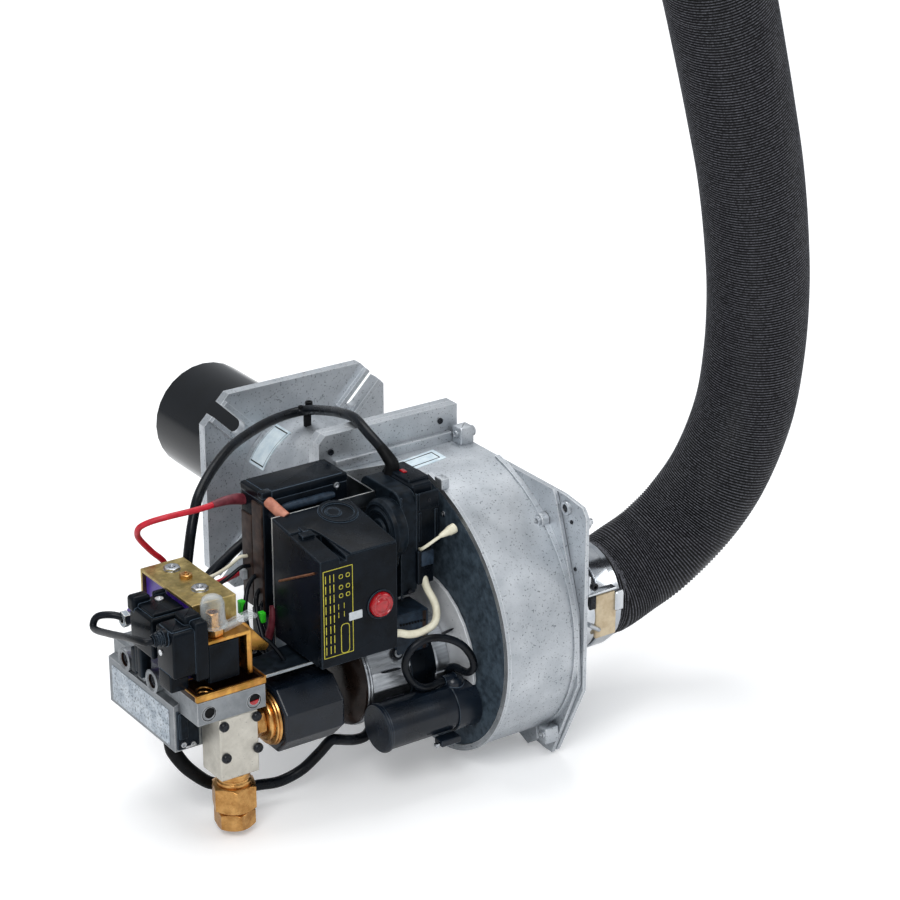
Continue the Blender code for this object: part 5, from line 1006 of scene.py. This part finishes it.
class BURNER_OT_controls(bpy.types.Operator):
    """Control box, transformer, pressure switch and their bracket"""
    bl_idname = "burner.controls"
    bl_label = "Controls"

    def execute(self, context):
        dress("controls")
        lid = soften([(-126.6, -299.6), (-80.4, -299.6), (-80.4, -222.4), (-157.6, -222.4), (-157.6, -251),
                      (-137, -251), (-133.5, -262)], 1.2)
        piece("control_box_lid", box_slope([
            slab("Z", lid, 69.6, 71.4, 0.7), washer("Z", (-101, -238.5, 0), 71, 73.0, 17.6, 14.2, 72, 0.5),
            lathe("Z", (-105, -237, 0), [(71, 0), (71, 7.2), (72.6, 7.2), (72.6, 5.6), (72, 5.4), (72, 0)], 48, 0.3),
            block((-152, -262.5, 69.6), (-139.5, -255, 73.2), 0.8),
            block((-147, -255.5, 71), (-141, -247, 73.2), 0.8)]), "gloss_plastic")
        piece("control_box_print", [
            printed_frame((-155.6, -33.5), (-125.6, 49.2), 0.7),
            printed_frame((-138.4, -33.0), (-129.4, -4.6), 0.7, 4.0),
            *[printed_frame((x - 2.1, z - 2.1), (x + 2.1, z + 2.1), 0.6, 2.0) for x in (-137.6, -130.6)
                for z in (22.5, 30.5, 40.5)],
            *[printed_bar(x, z, 0.8, 7.4) for x in (-153.4, -149.0, -145.2) for z in np.arange(-30, 42, 9.6)],
            *[printed_bar(x, z, 0.6, 5.2) for x in (-140.6, -135.0) for z in (2.0, 10.0)]], "yellow_print")
        piece("control_box_tab", [
            slab("Y", box_outline((-130, -3.6), (-116.6, 4.0), 0.8), -300.7, -299.7, 0.3)], "grey_sticker")
        piece("control_box_rod", [rod((-158.4, -232.8, 15.6), (-158.4, -291.5, 45.6), 6, 1.2, 12)], "copper_wire")
        piece("reset_button_cap", [
            lathe("Y", (-98, 0, 4), [(-293.5, 0), (-293.5, 11.4), (-302.2, 11.4), (-304.2, 10.6), (-304.8, 9.6),
                (-303.7, 8.8), (-303.5, 6.6), (-304.4, 5.8), (-304.8, 4.6), (-305.0, 0)], 80, 0.35)], "button_red",
            "reset_button", ("reset_button",))
        piece("reset_button_ring", [
            lathe("Y", (-98, 0, 4), [(-299, 12), (-301.2, 12), (-301.2, 13.6), (-299, 13.8)], 80, 0.4)],
            "gloss_plastic")
        piece("transformer_case", [
            block((-156.6, -204.2, -30), (-69, -166.1, 80), 2.0),
            block((-157, -204.6, 78.6), (-69.2, -166.3, 87), 1.8), block((-152, -203, 85.6), (-74, -168, 87.9)),
            block((-157.4, -204.8, 82), (-147, -197, 88), 1.2)], "gloss_plastic",
            stands_for=("ignition_transformer",))
        # Thin plates on the transformer's left face, whose brown is partly a painted highlight
        piece("transformer_side", [
            block((-158.0, -203.4, -28), (-155.8, -187, 76), 0.8),
            block((-157.7, -185.6, -28), (-155.8, -168, 60), 0.8)], "brown_phenolic_and_sheen")
        piece("transformer_bar", [
            rod((-138.4, -205.6, 69.8), (-84.6, -205.6, 69.8), 12, [2.6, 3.6, *[4] * 8, 3.6, 2.6], 20)],
            "blue_black_plastic")
        piece("transformer_screws", [screw("Y", (-81.3, -204.2, 77.5), -1, 3.0, 1.8)], "plated_steel")
        piece("spacer_sleeves", [
            rod((-150.5, -202.5, 78.5), (-144.2, -222.4, 68.4), 10, 5.0, 36)], "salmon_moulding",
            stands_for=("spacer_sleeve",))
        piece("spacer_rod", [washer("Y", (-149, 0, 66), -219.9, -202, 3.4, 0, 40, 0.4)], "oiled_black_steel")
        entry = [(-153, -171, 70.4), (-158, -171, 71), (-164, -172, 73), (-177, -174, 75), (-190, -174.6, 74.8)]
        piece("ignition_boot", [routed(entry, 2, (5.2, 5.0, 3.1), 24, (0, 5.7))], "dark_red_rubber")
        piece("transformer_clip", [block((-161.5, -176, -5), (-157.4, -168, 4.2), 0.8)], "grey_sticker")
        piece("membrane_rings", [
            lathe("X", (0, -249, 47), [(-51.4, 0), (-51.4, 26.4), (-57, 27.3), (-61.5, 27.3), (-63.4, 26),
                (-64.8, 25.2), (-65.6, 23), (-64.2, 21.4), (-64.2, 19.4), (-65.8, 18.2), (-65.8, 15.6), (-64.4, 14.4),
                (-64.4, 10), (-66.2, 9), (-66.2, 0)], 96, 0.4)], "matt_plastic")
        piece("switch_trim", [
            block((-35.5, -262.9, 20), (-33.2, -260.5, 78), 0.8),
            block((-51.6, -262.9, -20), (-49.6, -261.2, 78), 0.7), block((-32, -246, 79.4), (-10, -205, 84.2), 1.6),
            block((-30.5, -259.9, 60), (-9, -257.5, 76), 1.2), block((-31, -260.4, 30), (-27.6, -258.4, 58), 0.9),
            block((-14, -260.4, 30), (-10.5, -258.4, 58), 0.9)], "gloss_plastic")
        piece("switch_screws", [
            screw("Y", (-42.5, -262.3, -14.5), -1, 1.9, 1.0), screw("Y", (-19.8, -259.6, 68), -1, 1.6, 1.0)],
            "oiled_black_steel")
        piece("switch_foot", [block((-36, -266.5, -8.5), (-19.5, -246, 24), 1.4)], "gloss_plastic")
        piece("switch_foot_plate", [block((-32.6, -267.2, 9), (-19.8, -266, 23), 0.5)], "blue_black_plastic")
        gland = [(-28.5, -214, 80), (-28.5, -214, 84), (-28.5, -214, 89), (-32, -204, 100), (-33, -195, 105)]
        piece("switch_boot", [routed(gland, 2, (7.4, 6.4, 4.2), 28, (0, 3))], "soft_black")
        piece("switch_red_bit", [block((-26, -229, 83.2), (-22, -222, 85.4), 0.5)], "button_red")
        wire = [(-30, -257, 22), (-31, -262, 24), (-32, -267.5, 27), (-28, -271, 31), (-22, -273, 35),
            (-16, -274, 38), (-13, -274, 39)]
        piece("crimp_wire", [routed(wire, 1.2, 1.5, 14)], "cream_pvc")
        swell = np.interp(np.linspace(0, 1, 24), (0, 0.1, 0.45, 0.6, 0.9, 0.97, 1),
                          (1.6, 2.2, 3.4, 4.3, 4.6, 4.4, 3.4))
        piece("crimp_cap", [rod((-18, -273.6, 37.4), (-1.6, -274.6, 42.4), 24, swell, 28)], "cream_pvc")
        # Its last block, between the shelf and the control box, is a black slab that paints the shade under the box
        piece("terminal_housing", [
            block((-156, -219.6, -72), (-62, -179, -30.4), 1.6), block((-157.2, -216, -66), (-154, -184, -36)),
            block((-150, -262, -47.6), (-92, -222, -42.8), 1.2)], "matt_plastic")
        # A shelf under the control box whose black top is painted shade, with a pale edge in front
        piece("painted_shade_shelf", [
            slab("Z", soften([(-198.4, -273.2), (-90, -273.2), (-90, -222), (-198.4, -240)], 2), -49.4, -47.4, 0.3)],
            "matt_plastic")
        piece("panel_shelf_edge", [block((-198.4, -274.2, -49.6), (-92, -273.0, -46.9), 0.4)], "zinc_sheet")
        return {"FINISHED"}


class BURNER_OT_wiring(bpy.types.Operator):
    """Short wires, sleeves and terminals between the controls and the valve"""
    bl_idname = "burner.wiring"
    bl_label = "Wiring"

    def execute(self, context):
        for name, (width, finish, route) in WIRES.items():
            piece(name, [routed(route, 2, width / 2, 14)], finish)
        sleeve = [(-158.5, -219, -14), (-159, -220, -20), (-160, -219, -34), (-162, -216, -46), (-163, -215, -50)]
        piece("maroon_sleeve", [routed(sleeve, 2, (2.6, 4.2), 20)], "dark_red_rubber")
        piece("green_terminals", [
            block((-169.5, -217.5, -29), (-164, -212, -19), 0.8), block((-180.5, -202, -24), (-175, -196, -11), 0.8)],
            "green_nylon")
        return {"FINISHED"}


class BURNER_OT_valve(bpy.types.Operator):
    """Gas valve train with its coils, plugs and union"""
    bl_idname = "burner.valve"
    bl_label = "Gas valve"

    def execute(self, context):
        dress("valve")
        for node, finish in PAINTED.items():
            paint(node, finish)
        piece("yoke_nuts", [part for y, turn in ((-169.7, 0.3), (-218.8, 0.6)) for part in (
            washer("Z", (-229.5, y, 0), 21.4, 22.1, 7.6, 0, 40, 0.2),
            hexagon("Z", (-229.5, y, 0), 22.0, 24.4, 13.4, 3.0, turn),
            lathe("Z", (-229.5, y, 0), [(21, 0), (21, 3.1), (25.4, 2.8), (25.4, 1.2), (24.6, 0.9), (24.6, 0)], 28,
                  0.2))], "plated_steel")
        piece("yoke_middle_nut", [
            hexagon("Z", (-227.5, -190.9, 0), 21.4, 25.0, 10.5, 3.0, 0.2),
            lathe("Z", (-227.5, -190.9, 0), [(21, 0), (21, 3.1), (26, 2.8), (26, 1.4), (24, 1.2), (24, 0)], 28, 0.2)],
            "turned_brass")
        piece("yoke_flange", [
            slab("Y", soften([(-210, -3.4), (-203, -5), (-192, -19), (-180, -33), (-184, -37.5), (-198, -33),
                (-210, -34)], 2.0), -249.4, -247.6, 0.3),
            block((-213.4, -268.6, -44.5), (-208.2, -264.5, -4), 0.8)], "yellow_chromate")
        piece("front_plug", [
            block((-285.3, -270.6, -29), (-263.4, -240.5, 13.4), 2.6),
            block((-283.2, -266, 11), (-264, -243, 15.2), 2.0),
            block((-264.4, -271.8, -36), (-251.5, -246, 18.6), 2.2),
            block((-269.3, -262, 12), (-252, -243.5, 22), 3.0), block((-285.8, -264, -44), (-268, -243, -26), 2.0),
            lathe("X", (0, -256, 6.5), [(-297.3, 0), (-297.3, 4.6), (-295.4, 6.0), (-293.8, 6.0), (-293.4, 5.0),
                (-292.4, 5.0), (-292, 6.6), (-290.4, 6.8), (-290, 5.6), (-289, 5.6), (-288.6, 7.4), (-285, 8.0),
                (-284, 8.0), (-284, 0)], 40, 0.25)], "gloss_plastic", stands_for=("front_connector",))
        piece("rear_plug", [
            block((-285.2, -233, -25), (-249.8, -194, 12.4), 2.4),
            block((-281.5, -229.6, 11), (-251, -195.5, 15.6), 1.6),
            block((-286.3, -203.5, 7), (-268.5, -191, 21.5), 3.4),
            block((-283.6, -231.6, -10), (-252, -230.8, 6), 0.6), block((-262, -196, 10), (-249.8, -191, 18), 2.0)],
            "gloss_plastic", stands_for=("rear_connector",))
        piece("plug_screws", [
            screw("Z", (-262.4, -206.0, 15.6), 1, 3.9, 1.5, 0.45),
            screw("X", (-285.3, -249.1, -10.4), -1, 2.7, 1.2, 0.45)], "white_zinc")
        piece("coil_gland", [
            lathe("X", (0, -166.9, -14.7), [(-270.4, 3.4), (-270.4, 8.2), (-264.5, 8.6), (-264.5, 3.4)], 40, 0.5)],
            "violet_resin")
        piece("coil_gland_nut", [
            hexagon("X", (0, -166.9, -14.7), -279.5, -273.2, 13, 3.4, 0.3),
            washer("X", (0, -166.9, -14.7), -273.4, -270.2, 5.4, 3.4, 32, 0.2)], "zinc_sheet")
        middle = (-239.6, -258, 0)
        piece("test_nipple_turned", [
            hexagon("Z", middle, -2.4, 4.6, 15, 2.2, 0.2),
            lathe("Z", middle, [(4.4, 2.6), (4.4, 6.8), (6.0, 6.8), (6.8, 6.3), (17.8, 6.2), (18.8, 5.6), (18.8, 4.4),
                (12.0, 4.2), (12.0, 2.6)], 56, 0.25)], "turned_brass", stands_for=("test_nipple",))
        strap = soften([(-231, -1.6), (-206, 4.0), (-199.4, 3.4), (-198, 6.6), (-202, 9.4), (-231, 3.0)], 1.4)
        piece("test_cap", [
            lathe("Z", middle, [(5.9, 9.6), (5.9, 11.0), (8.4, 11.2), (9.0, 10.9), (27.0, 10.4), (31.0, 8.9),
                (33.2, 6.0), (33.9, 0), (32.6, 0), (32.0, 5.4), (30.0, 8.0), (26.6, 9.5), (9.4, 9.8)], 72, 0.3),
            washer("Z", middle, 6.0, 8.4, 12.6, 10.6, 72, 0.3),
            *[slab("Y", strap, y, y + 1.9, 0.5) for y in (-262.5, -255.4)],
            slab("Y", soften([(-231, -0.2), (-206, 5.2), (-200, 5.0), (-200, 6.4), (-206, 7.0), (-231, 1.2)], 0.5),
                -261.5, -254.5, 0.3)], "clear_polycarbonate", stands_for=("clear_cap",))
        piece("tray_rim", [
            slab("Y", box_outline((-269.9, -51.6), (-201.1, -45.2), 1.8), -279.3, -275.4, 1.2),
            rod((-269.4, -277.6, -45.6), (-269.4, -246, -45.6), 6, 0.8),
            rod((-201.6, -277.6, -45.6), (-201.6, -246, -45.6), 6, 1.2),
            rod((-269.4, -246, -45.6), (-201.6, -246, -45.6), 6, 0.8)], "yellow_chromate",
            stands_for=("regulator_rim",))
        piece("tray_gasket", [
            framed("Z", box_outline((-269.6, -275.9), (-201.4, -245.3), 1.0), box_outline((-265.6, -275.3),
                (-205.4, -248.7), 0.8), -51.7, -45.4, 0.4, 2)], "tray_paint_and_reflection")
        piece("tray_lining", [
            framed("Z", box_outline((-266.2, -275.5), (-204.8, -248.1), 1.0), box_outline((-265.4, -274.7),
                (-205.6, -248.9), 0.6), -72, -45.6, 0.1, 1),
            slab("Z", box_outline((-266.2, -275.5), (-204.8, -248.1), 1.0), -71.2, -70.2, 0.1, 1)], "tray_paint_and_reflection")
        piece("tray_springs", [
            tube(coil_path("Z", (-252, -262, 0), 7.4, -70, -50, 4.5), 1.0, 8),
            tube(coil_path("Z", (-252, -262, 0), 4.0, -70, -54, 4.0), 0.7, 8)], "turned_brass")
        for name, x, z in (("tray_port_left", -258.0, -64.4), ("tray_port_right", -213.8, -65.2)):
            piece(name, [
                lathe("Y", (x, 0, z), [(-278.4, 6.7), (-278.7, 6.9), (-278.5, 7.4), (-277.6, 7.6), (-277.6, 6.7)], 48,
                    0.1)], "cast_zinc")
            # A black cup closes each port's bore: painted shade in the hole
            piece(name + "_bore_shade", [
                lathe("Y", (x, 0, z), [(-278.55, 6.8), (-278.55, 6.2), (-277.2, 6.0), (-277.2, 0), (-275.4, 0),
                    (-275.4, 6.8)], 44, 0.05)], "soft_black")
        piece("tray_port_seal", [
            slab("Y", soften([(-219.1, -66.0), (-208.6, -65.0), (-210.2, -69.0), (-213.8, -70.4), (-217.4, -69.2)],
                1.0), -278.2, -277.0, 0.3)], "button_red")
        piece("block_screws", [
            lathe("Y", (x, 0, z), [(-277.8, 0), (-277.8, 4.6), (-280.4, 4.5), (-281.8, 3.4), (-282.2, 2.0),
                (-281.4, 1.8), (-281.4, 0)], 32, 0.5)
            for x, z in ((-244.1, -81.0), (-211.9, -80.4), (-242.8, -111.9), (-211.4, -111.1))], "oiled_black_steel")
        piece("valve_recess", [
            slab("Y", soften([(-272, -73), (-250.5, -76.5), (-250.5, -110.5), (-272, -110.5)], 1.5), -246.2, -244.4,
                0.4),
            block((-270, -248.4, -100), (-262, -245, -76), 1.2)], "matt_plastic")
        piece("recess_screws", [
            screw("Y", (-267.0, -246.2, -105.2), -1, 2.6, 2.4), screw("Y", (-257.6, -246.2, -107), -1, 2.2, 2.0),
            block((-265, -248, -109.5), (-254.5, -246, -107.4), 0.4)], "plated_steel")
        piece("valve_label", [
            slab("X", box_outline((-236, -108.6), (-133, -74.2), 2.0), -274.6, -273.8, 0.2)], "worn_plate_sticker")
        piece("boss_rings", [part for y in BOSSES_Y for part in (
            *[washer("X", (0, y, -58), x, x + 1.0, 7.6, 6.6, 40, 0.2) for x in (-274.6, -272.9)],
            lathe("X", (0, y, -58), [(-275.4, 7.8), (-276.0, 9.2), (-275.4, 10.8), (-273.6, 10.8), (-273.6, 7.8)],
                  48, 0.2))], "cast_zinc")
        piece("boss_threads", [
            lathe("X", (0, y, -58), [(x, 6.0), (x - 0.5, 6.5), (x, 7.2), (x + 0.9, 7.2), (x + 0.9, 6.0)], 44, 0.1)
            for y in BOSSES_Y for x in (-273.9, -272.5)], "tray_paint_and_reflection")
        piece("boss_plugs", [screw("X", (-271.6, y, -58), -1, 6.7, 1.2) for y in BOSSES_Y], "oiled_black_steel")
        piece("boss_middle", [
            block((-278.5, -197.4, -60), (-268, -190.5, -25), 1.6),
            block((-277.4, -189.2, -58), (-268, -184, -25), 1.4),
            block((-276.2, -182.4, -62), (-268, -174.5, -38), 1.4)], "matt_plastic")
        across = (-227, -261.8, 0)
        piece("union_turned", [
            lathe("Z", across, [(-148, 0), (-148, 14.0), (-146.2, 15.4), (-143.6, 15.4), (-142.8, 14.2),
                (-141.4, 13.8), (-140.6, 14.6), (-135.6, 14.6), (-134.8, 13.8), (-134.6, 0)], 96, 0.3),
            hexagon("Z", across, -171.6, -146.8, 36, 0, radians(8))], "turned_brass", stands_for=("union_body",))
        piece("union_nut_turned", [
            washer("Z", across, -172.6, -171.2, 14.2, 0, 72, 0.2),
            hexagon("Z", across, -188.9, -172.2, 32, 9.2, radians(20)),
            lathe("Z", across, [(-188.6, 8.4), (-188.6, 9.6), (-173, 9.6), (-173, 0), (-174.4, 0), (-174.4, 8.4)], 60,
                0.2)], "turned_brass", stands_for=("union_nut",))
        side = (0, -261.8, -94.3)
        piece("side_nut_turned", [
            hexagon("X", side, -209.7, -199.6, 28, 7.6, 0.26), washer("X", side, -210.6, -190.9, 7.8, 5.0, 48, 0.4),
            lathe("X", side, [(-199.8, 7), (-199.8, 18), (-198.6, 20), (-197.2, 20.6), (-196.6, 19.6), (-196.0, 20.4),
                (-195.4, 24.0), (-194.2, 24.8), (-193.4, 23.6), (-192.8, 25.0), (-191.2, 25.8), (-190.6, 25),
                (-190.6, 7)], 112, 0.25)], "turned_brass", stands_for=("side_coil_nut",))
        piece("gas_pipe_bent", [routed(GAS_PIPE, 3, 13.5, 40)], "tube_enamel", stands_for=("gas_pipe",))
        boot = LEADS["valve_cable"][2][:6]
        piece("valve_cable_boot", [routed(boot, 2, (7.2, 6.8, 5.1), 28, (0, 3))], "soft_black")
        return {"FINISHED"}


class BURNER_PT_panel(bpy.types.Panel):
    """Builds the burner group by group"""
    bl_idname = "BURNER_PT_panel"
    bl_label = "Gas Burner"
    bl_space_type = "VIEW_3D"
    bl_region_type = "UI"
    bl_category = "Burner"

    def draw(self, context):
        for key in BurnerSettings.__annotations__:
            self.layout.prop(context.scene.burner, key)
        for operator in OPERATORS:
            self.layout.operator(operator.bl_idname)


OPERATORS = (BURNER_OT_stage, BURNER_OT_hose, BURNER_OT_leads, BURNER_OT_head, BURNER_OT_housing, BURNER_OT_motor,
    BURNER_OT_intake, BURNER_OT_controls, BURNER_OT_wiring, BURNER_OT_valve)
CLASSES = (BurnerSettings, *OPERATORS, BURNER_PT_panel)


def register():
    for kind in CLASSES:
        bpy.utils.register_class(kind)
    bpy.types.Scene.burner = bpy.props.PointerProperty(type=BurnerSettings)


def unregister():
    del bpy.types.Scene.burner
    for kind in reversed(CLASSES):
        bpy.utils.unregister_class(kind)


def main():
    register()
    bpy.ops.burner.stage()
    bpy.ops.burner.hose()
    bpy.ops.burner.leads()
    bpy.ops.burner.head()
    bpy.ops.burner.housing()
    bpy.ops.burner.motor()
    bpy.ops.burner.intake()
    bpy.ops.burner.controls()
    bpy.ops.burner.wiring()
    bpy.ops.burner.valve()


if __name__ == "__main__":
    main()
